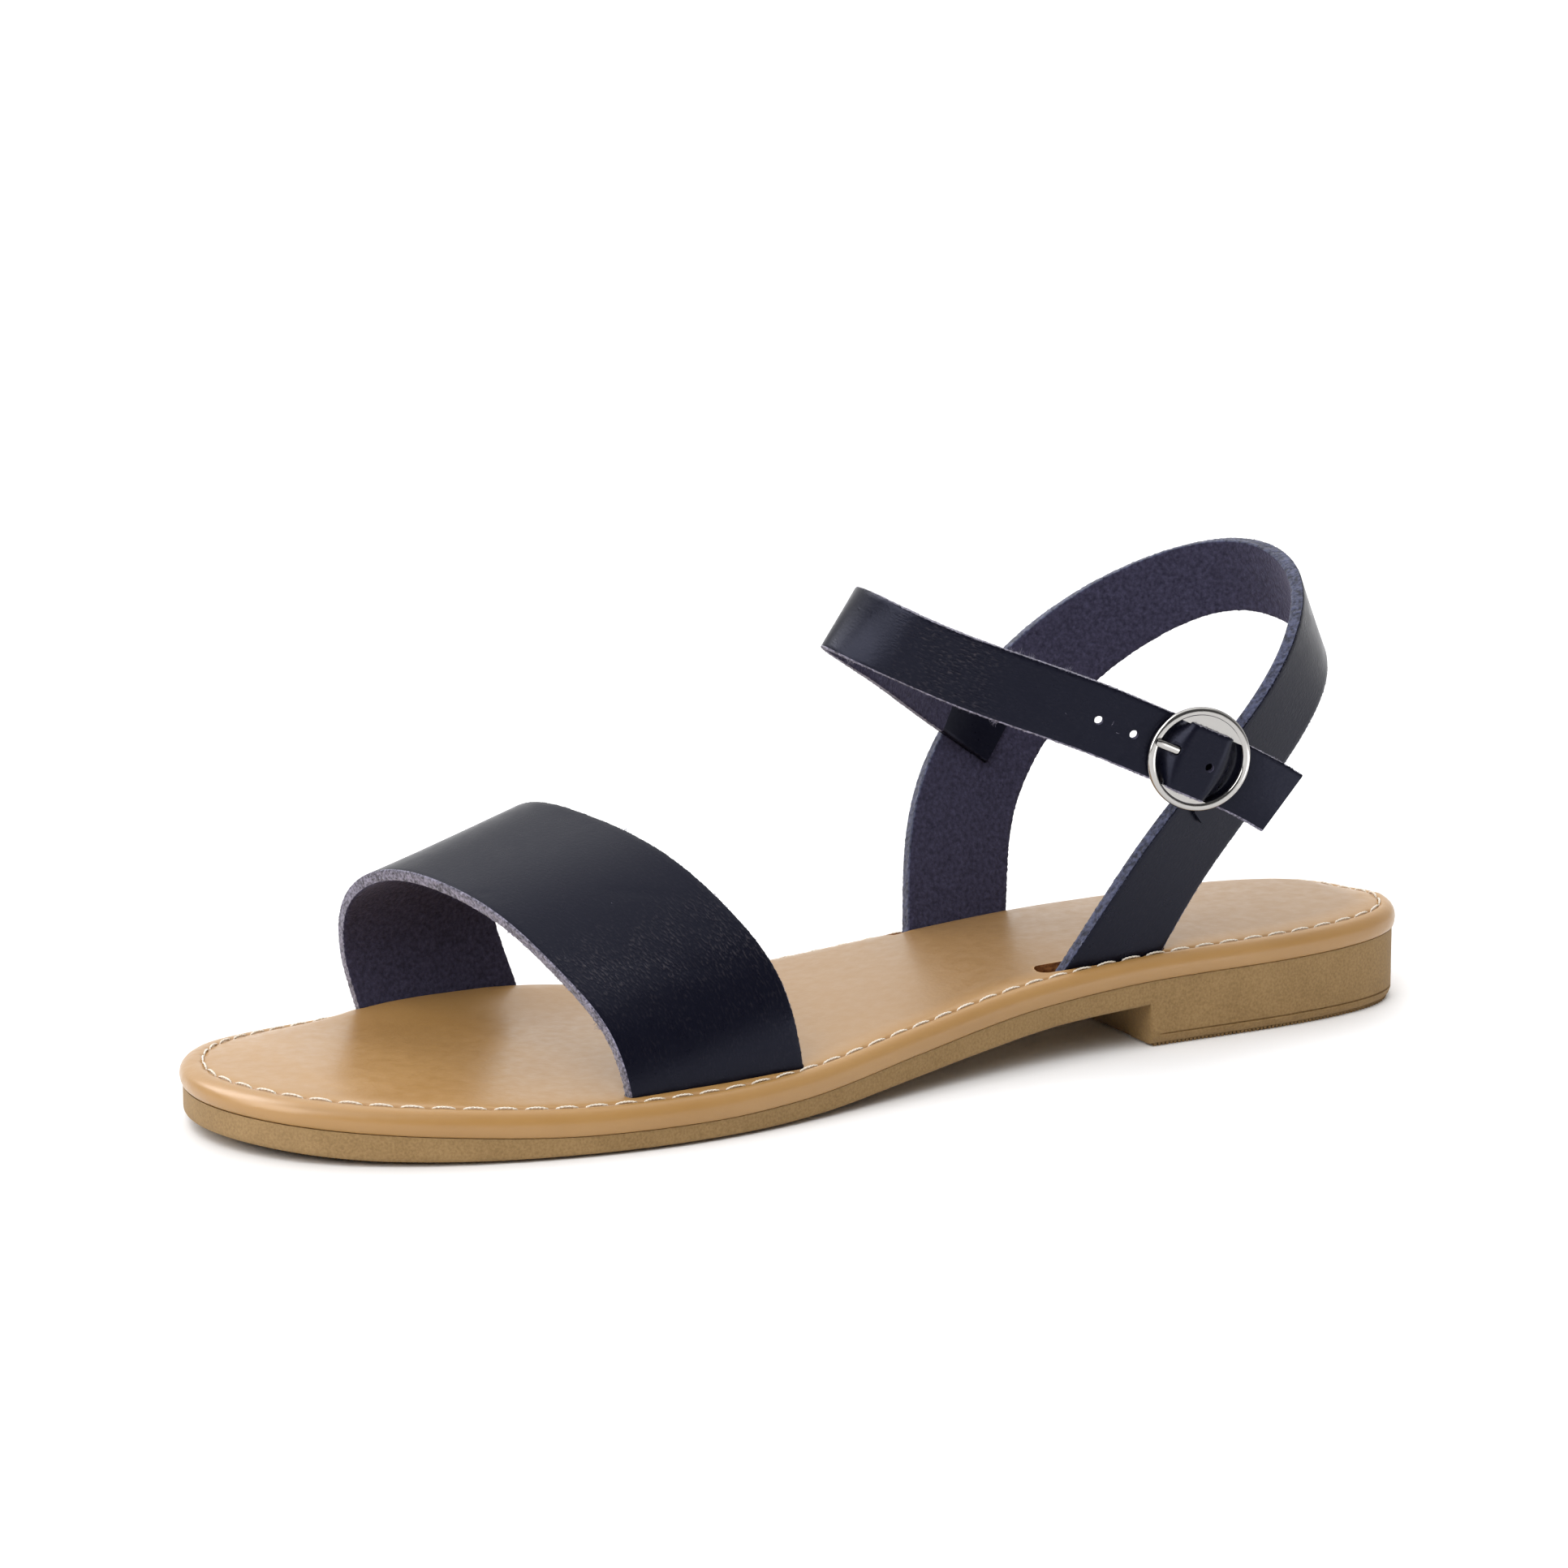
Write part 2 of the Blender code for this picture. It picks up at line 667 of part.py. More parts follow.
def tube(name, path, half_bar, half_depth, sides, finish):
    """Closed bent rod in the plane across the buckle bar: path rows are along and out, in millimetres."""
    path = np.array(path, float)
    tangent = unit(np.gradient(path, axis=0))
    normal = np.stack([-tangent[:, 1], tangent[:, 0]], axis=1)
    verts = []
    for spot, side in zip(path, normal):
        for k in range(sides):
            turn = 2.0 * math.pi * k / sides
            along_mm, out_mm = spot + side * half_depth * math.sin(turn)
            verts.append(buckle_place(along_mm, half_bar * math.cos(turn), out_mm))
    faces = []
    for i in range(len(path) - 1):
        for k in range(sides):
            after = (k + 1) % sides
            faces.append((i * sides + k, i * sides + after, (i + 1) * sides + after, (i + 1) * sides + k))
    faces.append(tuple(range(sides)))
    faces.append(tuple((len(path) - 1) * sides + k for k in range(sides)))
    return solid(name, verts, faces, finish, 60.0)


def prong_path():
    """Prong in the plane across the bar: eye round the bar, then straight to the front of the ring."""
    turns = np.radians(np.linspace(*PRONG_EYE_TURNS, PRONG_EYE_STEPS))
    eye = np.stack([PRONG_EYE * np.cos(turns), PRONG_EYE * np.sin(turns) - BAR_DROP], axis=1)
    rest = RING_WIRE + FIT_GAP + PRONG_HALF_DEPTH
    shares = np.linspace(0.0, 1.0, PRONG_STEPS + 1)[1:, None]
    tip = np.array([[-PRONG_REACH, rest]])
    return np.concatenate([eye, eye[-1:] * (1.0 - shares) + tip * shares])


def make_prong(name="buckle_prong", grow=0.0):
    """Prong of the buckle, or the same shape grown to cut its way through the strap."""
    return tube(name, prong_path(), PRONG_HALF_WIDTH + grow, PRONG_HALF_DEPTH + grow, PRONG_SIDES, "buckle")


def make_frame():
    """Round ring of the buckle with its centre bar."""
    bpy.ops.mesh.primitive_torus_add(
        major_segments=RING_STEPS,
        minor_segments=WIRE_SIDES,
        major_radius=RING_RADIUS * MM,
        minor_radius=RING_WIRE * MM,
    )
    ring = bpy.context.object
    ring.name = "buckle_frame"
    ring.data.name = "buckle_frame"
    ring.data.transform(buckle_matrix(0.0, 0.0, 0.0))
    ring.data.materials.append(material("buckle"))
    upright = Matrix.Rotation(math.radians(90.0), 4, "X")
    place = buckle_matrix(0.0, 0.0, -BAR_DROP) @ upright
    bar = rod("bar", BAR_RADIUS, 2 * RING_RADIUS, place, BAR_SIDES, "buckle")
    combine(ring, bar, "UNION")
    shade(ring, 50.0)
    return ring


def make_tab():
    """Leather tab folded round the bar and lying on the outer face of the heel strap."""
    band = Band(HEEL_STRAP, np.linspace(0.0, 1.0, HEEL_FINE_STEPS + 1))
    bar_spot = buckle_place(0.0, 0.0, -BAR_DROP)
    beside = np.abs(np.sum((band.place - bar_spot) * np.gradient(band.place, axis=0), axis=1))
    beside[:len(beside) // 2] = np.inf
    run = band.run() - band.run()[int(np.argmin(beside))]
    sides = np.linspace(-1.0, 1.0, TAB_COLUMNS + 1)
    near = []
    for reach, half_run, lift, slant in TAB_ROWS:
        spots = sides * half_run
        place, across, normal = (
            np.stack([np.interp(spots, run, part[:, k]) for k in range(3)], axis=1)
            for part in (band.place, band.across, band.normal)
        )
        far = (reach + slant * spots)[:, None]
        near.append(place + (across * far + normal * (HEEL_OUTER + lift)) * MM)
    near = np.stack(near)
    normal = unit(np.cross(np.gradient(near, axis=0), np.gradient(near, axis=1)))
    normal *= np.sign(np.sum(normal * buckle_axes()[2], axis=2, keepdims=True))
    tab = sheet_body("buckle_tab", near + normal * TAB_THICKNESS * MM, near, "leather")
    upright = Matrix.Rotation(math.radians(90.0), 4, "X")
    core = BAR_RADIUS + FIT_GAP
    place = buckle_matrix(0.0, 0.0, -BAR_DROP) @ upright
    fold = rod("fold", core + TAB_THICKNESS, 2 * TAB_HALF_WIDTH, place, FOLD_SIDES, "leather")
    combine(tab, fold, "UNION")
    bore = rod("bore", core, 4 * TAB_HALF_WIDTH, place, FOLD_SIDES, "leather")
    combine(tab, bore, "DIFFERENCE")
    notch = block("notch", NOTCH_SIZE, buckle_matrix(NOTCH_SHIFT, 0.0, -BAR_DROP), "leather")
    combine(tab, notch, "DIFFERENCE")
    shade(tab, 40.0)
    return tab


def make_heel_and_ankle_straps():
    """Heel strap and ankle strap, joined where the ankle strap lies inside the heel strap."""
    even = np.linspace(0.0, 1.0, HEEL_STEPS + 1)
    strap = Band(HEEL_STRAP, even).sheet("heel_ankle_straps", HEEL_OUTER, HEEL_THICKNESS, HEEL_COLUMNS)
    trim_below(strap, HEEL_END_HEIGHT)
    far = np.linspace(0.0, ANKLE_NEAR_FROM, ANKLE_FAR_STEPS + 1)
    near = np.linspace(ANKLE_NEAR_FROM, 1.0, ANKLE_NEAR_STEPS + 1)
    ankle = Band(ANKLE_STRAP, np.concatenate([far[:-1], near]))
    run = ankle.run()
    along = buckle_axes()[0]
    offset = (ankle.place - buckle_place(0.0, 0.0, 0.0)) @ along
    bar_index = len(offset) // 2 + int(np.argmin(np.abs(offset[len(offset) // 2:])))
    piece = ankle.sheet("ankle", ANKLE_OUTER, ANKLE_THICKNESS, ANKLE_COLUMNS, over_bar=True)
    for distance in HOLES:
        k = int(np.argmin(np.abs(run - run[bar_index] - distance)))
        turn = Vector(ankle.normal[k]).to_track_quat("Z", "Y").to_matrix().to_4x4()
        spot = Matrix.Translation(Vector(ankle.place[k])) @ turn
        punch = rod("hole", HOLE_RADIUS, 6 * ANKLE_THICKNESS, spot, HOLE_SIDES, "leather")
        combine(piece, punch, "DIFFERENCE")
    combine(piece, make_prong("prong_way", FIT_GAP), "DIFFERENCE")
    combine(strap, piece, "UNION")
    shade(strap, 40.0)
    return strap


def main():
    """Build every piece of the sandal."""
    for old in list(bpy.data.objects):
        bpy.data.objects.remove(old, do_unlink=True)
    make_outsole()
    footbed = make_footbed()
    for cutter in slot_cutters():
        combine(footbed, cutter, "DIFFERENCE")
    shade(footbed, 40.0)
    make_toe_strap()
    make_heel_and_ankle_straps()
    make_frame()
    make_prong()
    make_tab()


main()
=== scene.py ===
"""Looks of a flat left sandal: moulded rubber sole, stitched tan footbed, black straps and a ring buckle.

Sizes are in millimetres unless a name says otherwise. Stations are counted from the heel to the toe, which
points to -Y, and the outer side of the foot is +X.
"""

import logging
import math
from collections.abc import Iterator, Sequence
from contextlib import contextmanager
from dataclasses import dataclass, field
from enum import Enum, IntEnum

import bmesh
import bpy
import numpy as np
from mathutils import Matrix, Vector


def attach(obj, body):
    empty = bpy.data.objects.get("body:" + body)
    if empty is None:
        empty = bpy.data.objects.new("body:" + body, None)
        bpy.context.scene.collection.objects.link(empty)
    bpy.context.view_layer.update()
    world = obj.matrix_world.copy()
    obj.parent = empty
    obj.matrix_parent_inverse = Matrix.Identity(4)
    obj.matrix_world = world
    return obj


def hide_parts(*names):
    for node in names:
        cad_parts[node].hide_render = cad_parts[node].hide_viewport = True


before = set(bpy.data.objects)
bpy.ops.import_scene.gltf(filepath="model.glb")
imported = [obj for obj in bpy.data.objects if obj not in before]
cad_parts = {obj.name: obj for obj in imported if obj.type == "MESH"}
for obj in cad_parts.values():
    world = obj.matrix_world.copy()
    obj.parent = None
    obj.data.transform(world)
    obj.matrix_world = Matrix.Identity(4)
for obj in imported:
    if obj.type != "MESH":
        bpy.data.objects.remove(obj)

MM = 0.001
BODY = "root"
SEED = 7
UP = (0.0, 0.0, 1.0)
FULL_TURN = 2.0 * math.pi
# angles in degrees over which edges stay sharp, on most pieces and on bent leather
SHARP = 60.0
LEATHER_SHARP = 50.0
# range that most of a noise stays in
MIDDLE = (0.3, 0.7)
LOG = logging.getLogger("sandal")

Array = np.ndarray
Socket = bpy.types.NodeSocket
Material = bpy.types.Material
Piece = bpy.types.Object
Colour = tuple[float, float, float]
Scale = tuple[float, float, float]
Place = tuple[float, float, float]
Pair = tuple[float, float]
Rows = tuple[tuple[float, ...], ...]


class Slot(Enum):
    """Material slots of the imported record."""

    RUBBER = "brown_rubber"
    TAN = "tan_leather"
    BLACK = "black_leather"
    METAL = "bright_metal"


class Face(IntEnum):
    """Kinds of strap surface, which are also the order of a strap's materials."""

    GRAIN = 0
    FLESH = 1
    CUT = 2


def unit(vectors: Array) -> Array:
    """Vectors scaled to length one."""
    return vectors / np.linalg.norm(vectors, axis=-1, keepdims=True)


def eased(table: Sequence[Sequence[float]], where: Array) -> Array:
    """Smooth heights that turn only where the rows turn.

    Args:
        table: Rows of station and value.
        where: Stations to read.

    Returns:
        One value for each station.
    """
    knots, values = np.array(table, float).T
    span = np.diff(knots)
    rise = np.diff(values) / span
    slope = np.concatenate([rise[:1], np.zeros(len(rise) - 1), rise[-1:]])
    for i in range(1, len(rise)):
        if rise[i - 1] * rise[i] > 0.0:
            slope[i] = 2.0 * rise[i - 1] * rise[i] / (rise[i - 1] + rise[i])
    where = np.clip(np.asarray(where, float), knots[0], knots[-1])
    cell = np.clip(np.searchsorted(knots, where, side="right") - 1, 0, len(span) - 1)
    share = (where - knots[cell]) / span[cell]
    result = values[cell] * (1.0 + 2.0 * share) * (1.0 - share) ** 2
    result += values[cell + 1] * share**2 * (3.0 - 2.0 * share)
    result += slope[cell] * span[cell] * share * (1.0 - share) ** 2
    result += slope[cell + 1] * span[cell] * share**2 * (share - 1.0)
    return result


@dataclass(frozen=True)
class Curve:
    """Cubic curve through rows of values, with even bending in its first and last two spans."""

    knots: Array
    rows: Array

    @classmethod
    def through(cls, table: Sequence[Sequence[float]], lead: int) -> "Curve":
        """Curve whose knots are the distances between the rows.

        Args:
            table: Rows of values.
            lead: How many of the first columns are places, which the distances are measured on.

        Returns:
            The curve.
        """
        rows = np.array(table, float)
        chord = np.linalg.norm(np.diff(rows[:, :lead], axis=0), axis=1)
        return cls(np.concatenate([[0.0], np.cumsum(chord)]), rows)

    def at(self, where: Array) -> Array:
        """Rows of the curve.

        Args:
            where: Places between the first and the last knot.

        Returns:
            One row for each place.
        """
        knots, rows = self.knots, self.rows
        count = len(knots)
        span = np.diff(knots)
        rise = np.diff(rows, axis=0) / span[:, None]
        system = np.zeros((count, count))
        target = np.zeros_like(rows)
        for i in range(1, count - 1):
            system[i, i - 1:i + 2] = (span[i - 1], 2.0 * (span[i - 1] + span[i]), span[i])
            target[i] = 6.0 * (rise[i] - rise[i - 1])
        system[0, :3] = (span[1], -span[0] - span[1], span[0])
        system[-1, -3:] = (span[-1], -span[-2] - span[-1], span[-2])
        bend = np.linalg.solve(system, target)
        cell = np.clip(np.searchsorted(knots, where, side="right") - 1, 0, count - 2)
        width = span[cell][:, None]
        left = (knots[cell + 1] - where)[:, None]
        right = (where - knots[cell])[:, None]
        curve = (bend[cell] * left**3 + bend[cell + 1] * right**3) / (6.0 * width)
        curve += (rows[cell] / width - bend[cell] * width / 6.0) * left
        curve += (rows[cell + 1] / width - bend[cell + 1] * width / 6.0) * right
        return curve

    def evenly(self, steps: int) -> Array:
        """Rows of the curve at even steps of its knots."""
        return self.at(np.linspace(0.0, self.knots[-1], steps + 1))


class Shader:
    """Short calls that add nodes to one procedural material."""

    # numbers of the mix node's colour sockets, whose names it has for other kinds too
    MIX_COLOURS = (6, 7)
    MIX_RESULT = 2

    def __init__(self, name: str) -> None:
        """An empty material, with places in object space.

        Args:
            name: The material's name.
        """
        self.material = bpy.data.materials.new(name)
        self.material.use_nodes = True
        self.tree = self.material.node_tree
        self.main = self.tree.nodes["Principled BSDF"]
        self.spot: Socket = self.tree.nodes.new("ShaderNodeTexCoord").outputs["Object"]

    def plug(self, socket: Socket, value: Socket | float | Colour) -> None:
        """Link an input to a node's output, or set it.

        Args:
            socket: The input.
            value: An output, a number or a colour.
        """
        if isinstance(value, Socket):
            self.tree.links.new(value, socket)
        else:
            socket.default_value = (*value, 1.0) if isinstance(value, tuple) else value

    def set(self, **values: Socket | float | Colour) -> None:
        """Inputs of the main shader, by socket name with _ for a space."""
        for key, value in values.items():
            self.plug(self.main.inputs[key.replace("_", " ")], value)

    def node(self, kind: str, **inputs: Socket | float) -> bpy.types.Node:
        """A node with its inputs set or linked.

        Args:
            kind: The node's type, without the leading words.
            inputs: Values or sockets, by input name with _ for a space.

        Returns:
            The node.
        """
        made = self.tree.nodes.new("ShaderNode" + kind)
        for key, value in inputs.items():
            self.plug(made.inputs[key.replace("_", " ")], value)
        return made

    def strap_spot(self) -> Socket:
        """Places along and across a strap, from its mesh."""
        made = self.node("CombineXYZ", X=self.attribute("along"), Y=self.attribute("across"))
        return made.outputs["Vector"]

    def attribute(self, name: str) -> Socket:
        """A number stored on the mesh.

        Args:
            name: The number's name.

        Returns:
            The number.
        """
        made = self.node("Attribute")
        made.attribute_name = name
        return made.outputs["Fac"]

    def stretched(self, spot: Socket, scale: Scale) -> Socket:
        """Places multiplied along each axis.

        Args:
            spot: The places.
            scale: The factor for each axis.

        Returns:
            The multiplied places.
        """
        made = self.node("VectorMath", Vector=spot)
        made.operation = "MULTIPLY"
        made.inputs[1].default_value = scale
        return made.outputs["Vector"]

    def noise(self, size: float, detail: float = 2.0, spot: Socket | None = None) -> Socket:
        """Soft noise with features of about that size."""
        made = self.node("TexNoise", Vector=spot or self.spot, Scale=1.0 / (size * MM), Detail=detail)
        return made.outputs["Fac"]

    def cells(self, size: float, spot: Socket | None = None) -> Socket:
        """Distance to the centres of cells of about that size."""
        made = self.node("TexVoronoi", Vector=spot or self.spot, Scale=1.0 / (size * MM))
        return made.outputs["Distance"]

    def spread(self, value: Socket, source: Pair, target: Pair = (0.0, 1.0)) -> Socket:
        """A value moved from one range to another, kept inside it.

        Args:
            value: The value.
            source: The range it comes from.
            target: The range it goes to.

        Returns:
            The moved value.
        """
        (low, high), (start, end) = source, target
        made = self.node("MapRange", Value=value, From_Min=low, From_Max=high, To_Min=start, To_Max=end)
        return made.outputs["Result"]

    def math(self, operation: str, first: Socket, second: Socket) -> Socket:
        """Two values joined by an operation.

        Args:
            operation: The operation's name.
            first: The first value.
            second: The second value.

        Returns:
            The result.
        """
        made = self.node("Math")
        made.operation = operation
        for socket, value in zip(made.inputs, (first, second)):
            self.plug(socket, value)
        return made.outputs["Value"]

    def blend(self, share: Socket, first: Colour | Socket, second: Colour | Socket) -> Socket:
        """A colour between two.

        Args:
            share: Share of the second colour.
            first: The colour at share nought.
            second: The colour at share one.

        Returns:
            The colour.
        """
        made = self.node("Mix", Factor=share)
        made.data_type = "RGBA"
        for number, value in zip(self.MIX_COLOURS, (first, second)):
            self.plug(made.inputs[number], value)
        return made.outputs[self.MIX_RESULT]

    def bump(self, height: Socket, depth: float, under: Socket | None = None) -> Socket:
        """A relief, on top of another one if given.

        Args:
            height: Its height from nought to one.
            depth: Its depth in millimetres.
            under: The relief under it.

        Returns:
            The surface normal.
        """
        made = self.node("Bump", Height=height, Distance=depth * MM, Strength=1.0)
        if under is not None:
            self.plug(made.inputs["Normal"], under)
        return made.outputs["Normal"]


@dataclass(frozen=True)
class RubberFinish:
    """Matt, finely pebbled khaki brown rubber."""

    dark: Colour = (0.222, 0.132, 0.048)
    light: Colour = (0.362, 0.229, 0.097)
    speck_size: float = 0.5
    speck_share: Pair = (0.0, 0.75)
    cloud_size: float = 9.0
    cloud_share: Pair = (0.0, 0.25)
    cloud_depth: float = 0.25
    pebble_size: float = 0.55
    pebble_depth: float = 0.09
    roughness: Pair = (0.62, 0.82)

    def build(self) -> Material:
        """The finish as a material.

        Returns:
            The material.
        """
        shader = Shader("moulded_rubber")
        specks = shader.noise(self.speck_size, detail=3.0)
        clouds = shader.noise(self.cloud_size)
        fine = shader.spread(specks, MIDDLE, self.speck_share)
        share = shader.math("ADD", fine, shader.spread(clouds, MIDDLE, self.cloud_share))
        pebbles = shader.bump(shader.noise(self.pebble_size), self.pebble_depth)
        shader.set(
            Base_Color=shader.blend(share, self.dark, self.light),
            Roughness=shader.spread(specks, MIDDLE, self.roughness),
            Specular_IOR_Level=0.35,
            Normal=shader.bump(clouds, self.cloud_depth, pebbles),
        )
        return shader.material


@dataclass(frozen=True)
class FootbedFinish:
    """Satin caramel leather, with painted shade on the seat, in the needle holes and along the rolled edge's
    foot.
    """

    tan: Colour = (0.418, 0.233, 0.079)
    deep: Colour = (0.374, 0.200, 0.061)
    # painted shade: the darker tan of the seat and waist
    seat_shade: Colour = (0.293, 0.165, 0.061)
    # painted shade in the needle holes and at the rolled edge's foot
    shade_brown: Colour = (0.20, 0.085, 0.030)
    cloud_size: float = 26.0
    pore_size: float = 0.8
    pore_depth: float = 0.015
    pull_size: float = 9.0
    pull_depth: float = 0.07
    gloss_size: float = 2.5
    roughness: Pair = (0.30, 0.42)

    def build(self) -> Material:
        """The finish as a material.

        Returns:
            The material.
        """
        shader = Shader("tan_satin_leather")
        clouds = shader.noise(self.cloud_size, detail=3.0)
        pores = shader.cells(self.pore_size)
        gloss = shader.noise(self.gloss_size, detail=3.0)
        tone = shader.blend(shader.spread(clouds, MIDDLE), self.deep, self.tan)
        # painted shade: the seat and waist are darkened towards the heel
        tone = shader.blend(shader.attribute("seat_shade"), tone, self.seat_shade)
        pulls = shader.bump(shader.noise(self.pull_size, detail=1.0), self.pull_depth)
        shader.set(
            # painted shade in the needle holes and along the rolled edge's foot
            Base_Color=shader.blend(shader.attribute("hole_and_foot_shade"), tone, self.shade_brown),
            Roughness=shader.spread(gloss, MIDDLE, self.roughness),
            Specular_IOR_Level=0.5,
            Coat_Weight=0.18,
            Coat_Roughness=0.25,
            Normal=shader.bump(pores, self.pore_depth, pulls),
        )
        return shader.material


@dataclass(frozen=True)
class GrainFinish:
    """Smooth black leather with a fine grain, drawn out along the strap and opened where it flexes, with a
    painted highlight on the grain's streaks there.
    """

    black: Colour = (0.0040, 0.0042, 0.0092)
    # painted highlight on the grain's streaks where the strap flexes
    streak_highlight: Colour = (0.0420, 0.0370, 0.0430)
    tint: Colour = (0.72, 0.75, 1.0)
    grain_size: float = 0.42
    grain_depth: float = 0.085
    grain_stretch: Scale = (0.38, 1.0, 1.0)
    streak_highlight_range: Pair = (0.52, 0.74)
    opened_range: Pair = (0.25, 0.75)
    cloud_size: float = 5.0
    cloud_range: Pair = (0.30, 0.60)
    cloud_share: Pair = (0.25, 1.0)
    pore_size: float = 0.6
    pore_depth: float = 0.010
    wave_size: float = 16.0
    wave_depth: float = 0.04
    gloss_size: float = 3.0
    roughness: Pair = (0.26, 0.34)

    def build(self) -> Material:
        """The finish as a material.

        Returns:
            The material.
        """
        shader = Shader("black_grain_leather")
        spot = shader.strap_spot()
        clouds = shader.spread(shader.noise(self.cloud_size), self.cloud_range, self.cloud_share)
        flex_and_highlight = shader.math("MULTIPLY", clouds, shader.attribute("flex_and_highlight"))
        streaks = shader.noise(self.grain_size, spot=shader.stretched(spot, self.grain_stretch))
        # painted highlight: the grain's streaks lighten where the strap flexes
        painted_highlight = shader.math("MULTIPLY", shader.spread(streaks, self.streak_highlight_range), flex_and_highlight)
        gloss = shader.noise(self.gloss_size, detail=3.0)
        waves = shader.noise(self.wave_size, detail=1.0)
        pores = shader.bump(shader.cells(self.pore_size, spot), self.pore_depth)
        opened = shader.math("MULTIPLY", shader.spread(streaks, self.opened_range), flex_and_highlight)
        grain = shader.bump(opened, self.grain_depth, pores)
        shader.set(
            Base_Color=shader.blend(painted_highlight, self.black, self.streak_highlight),
            Roughness=shader.spread(gloss, MIDDLE, self.roughness),
            Specular_IOR_Level=0.18,
            Specular_Tint=self.tint,
            Normal=shader.bump(waves, self.wave_depth, grain),
        )
        return shader.material


@dataclass(frozen=True)
class FleshFinish:
    """Napped underside of the straps: mottled dark blue grey."""

    dark: Colour = (0.018, 0.0165, 0.033)
    light: Colour = (0.066, 0.062, 0.112)
    sheen: Colour = (0.55, 0.53, 0.72)
    mottle_size: float = 0.8
    mottle_range: Pair = (0.25, 0.75)
    mottle_depth: float = 0.25
    nap_size: float = 0.38
    nap_range: Pair = (0.2, 0.75)
    nap_share: Pair = (0.5, 1.0)
    nap_depth: float = 0.16

    def build(self) -> Material:
        """The finish as a material.

        Returns:
            The material.
        """
        shader = Shader("dark_flesh_side")
        mottle = shader.noise(self.mottle_size, detail=4.0)
        nap = shader.noise(self.nap_size, detail=3.0)
        patches = shader.spread(mottle, self.mottle_range)
        share = shader.math("MULTIPLY", patches, shader.spread(nap, self.nap_range, self.nap_share))
        fluff = shader.bump(nap, self.nap_depth)
        shader.set(
            Base_Color=shader.blend(share, self.dark, self.light),
            Roughness=0.95,
            Specular_IOR_Level=0.1,
            Sheen_Weight=0.25,
            Sheen_Roughness=0.5,
            Sheen_Tint=self.sheen,
            Normal=shader.bump(mottle, self.mottle_depth, fluff),
        )
        return shader.material


@dataclass(frozen=True)
class CutFinish:
    """Raw cut edge of the straps: pale lilac grey fibres with dark gaps."""

    name: str = "raw_cut_edge"
    dark: Colour = (0.022, 0.020, 0.034)
    light: Colour = (0.340, 0.320, 0.425)
    fibre_size: float = 0.55
    fibre_range: Pair = (0.36, 0.66)
    fibre_share: Pair = (0.0, 0.75)
    fibre_depth: float = 0.28
    patch_size: float = 3.0
    patch_share: Pair = (0.0, 0.25)

    def build(self) -> Material:
        """The finish as a material.

        Returns:
            The material.
        """
        shader = Shader(self.name)
        fibre = shader.noise(self.fibre_size, detail=4.0)
        patches = shader.noise(self.patch_size)
        fine = shader.spread(fibre, self.fibre_range, self.fibre_share)
        share = shader.math("ADD", fine, shader.spread(patches, MIDDLE, self.patch_share))
        shader.set(
            Base_Color=shader.blend(share, self.dark, self.light),
            Roughness=1.0,
            Specular_IOR_Level=0.05,
            Sheen_Weight=0.3,
            Sheen_Roughness=0.6,
            Normal=shader.bump(fibre, self.fibre_depth),
        )
        return shader.material


@dataclass(frozen=True)
class BlueCutFinish(CutFinish):
    """Raw cut edge of the heel strap, darker and bluer."""

    name: str = "raw_blue_cut_edge"
    dark: Colour = (0.006, 0.007, 0.017)
    light: Colour = (0.082, 0.092, 0.170)
    fibre_size: float = 0.80


@dataclass(frozen=True)
class SlotFinish:
    """Reddish brown raw wall of the slots in the footbed."""

    name: str = "raw_slot_wall"
    dark: Colour = (0.160, 0.055, 0.018)
    light: Colour = (0.460, 0.190, 0.062)
    fibre_size: float = 0.8
    fibre_detail: float = 3.0
    fibre_range: Pair = MIDDLE
    fibre_depth: float = 0.12
    roughness: float = 0.85
    specular: float = 0.2

    def build(self) -> Material:
        """The finish as a material.

        Returns:
            The material.
        """
        shader = Shader(self.name)
        fibre = shader.noise(self.fibre_size, self.fibre_detail)
        shader.set(
            Base_Color=shader.blend(shader.spread(fibre, self.fibre_range), self.dark, self.light),
            Roughness=self.roughness,
            Specular_IOR_Level=self.specular,
            Normal=shader.bump(fibre, self.fibre_depth),
        )
        return shader.material


@dataclass(frozen=True)
class ThreadFinish(SlotFinish):
    """Cream waxed thread, with finer and paler fibres than the slots have."""

    name: str = "cream_thread"
    dark: Colour = (0.62, 0.53, 0.41)
    light: Colour = (0.90, 0.84, 0.74)
    fibre_size: float = 0.35
    fibre_detail: float = 2.0
    fibre_range: Pair = (0.25, 0.7)
    fibre_depth: float = 0.05
    roughness: float = 0.6
    specular: float = 0.3


@dataclass(frozen=True)
class MetalFinish:
    """Polished nickel with faint handling marks."""

    nickel: Colour = (0.42, 0.408, 0.392)
    mark_size: float = 1.6
    wave_size: float = 2.8
    wave_depth: float = 0.02
    roughness: Pair = (0.10, 0.20)

    def build(self) -> Material:
        """The finish as a material.

        Returns:
            The material.
        """
        shader = Shader("polished_nickel")
        marks = shader.noise(self.mark_size, detail=3.0)
        waves = shader.noise(self.wave_size, detail=1.0)
        shader.set(
            Base_Color=self.nickel,
            Metallic=1.0,
            Roughness=shader.spread(marks, MIDDLE, self.roughness),
            Normal=shader.bump(waves, self.wave_depth),
        )
        return shader.material


@dataclass(frozen=True)
class FloorFinish:
    """Plain white studio floor."""

    white: Colour = (0.93, 0.93, 0.935)

    def build(self) -> Material:
        """The finish as a material.

        Returns:
            The material.
        """
        shader = Shader("white_floor")
        shader.set(Base_Color=self.white, Roughness=0.9, Specular_IOR_Level=0.1)
        return shader.material


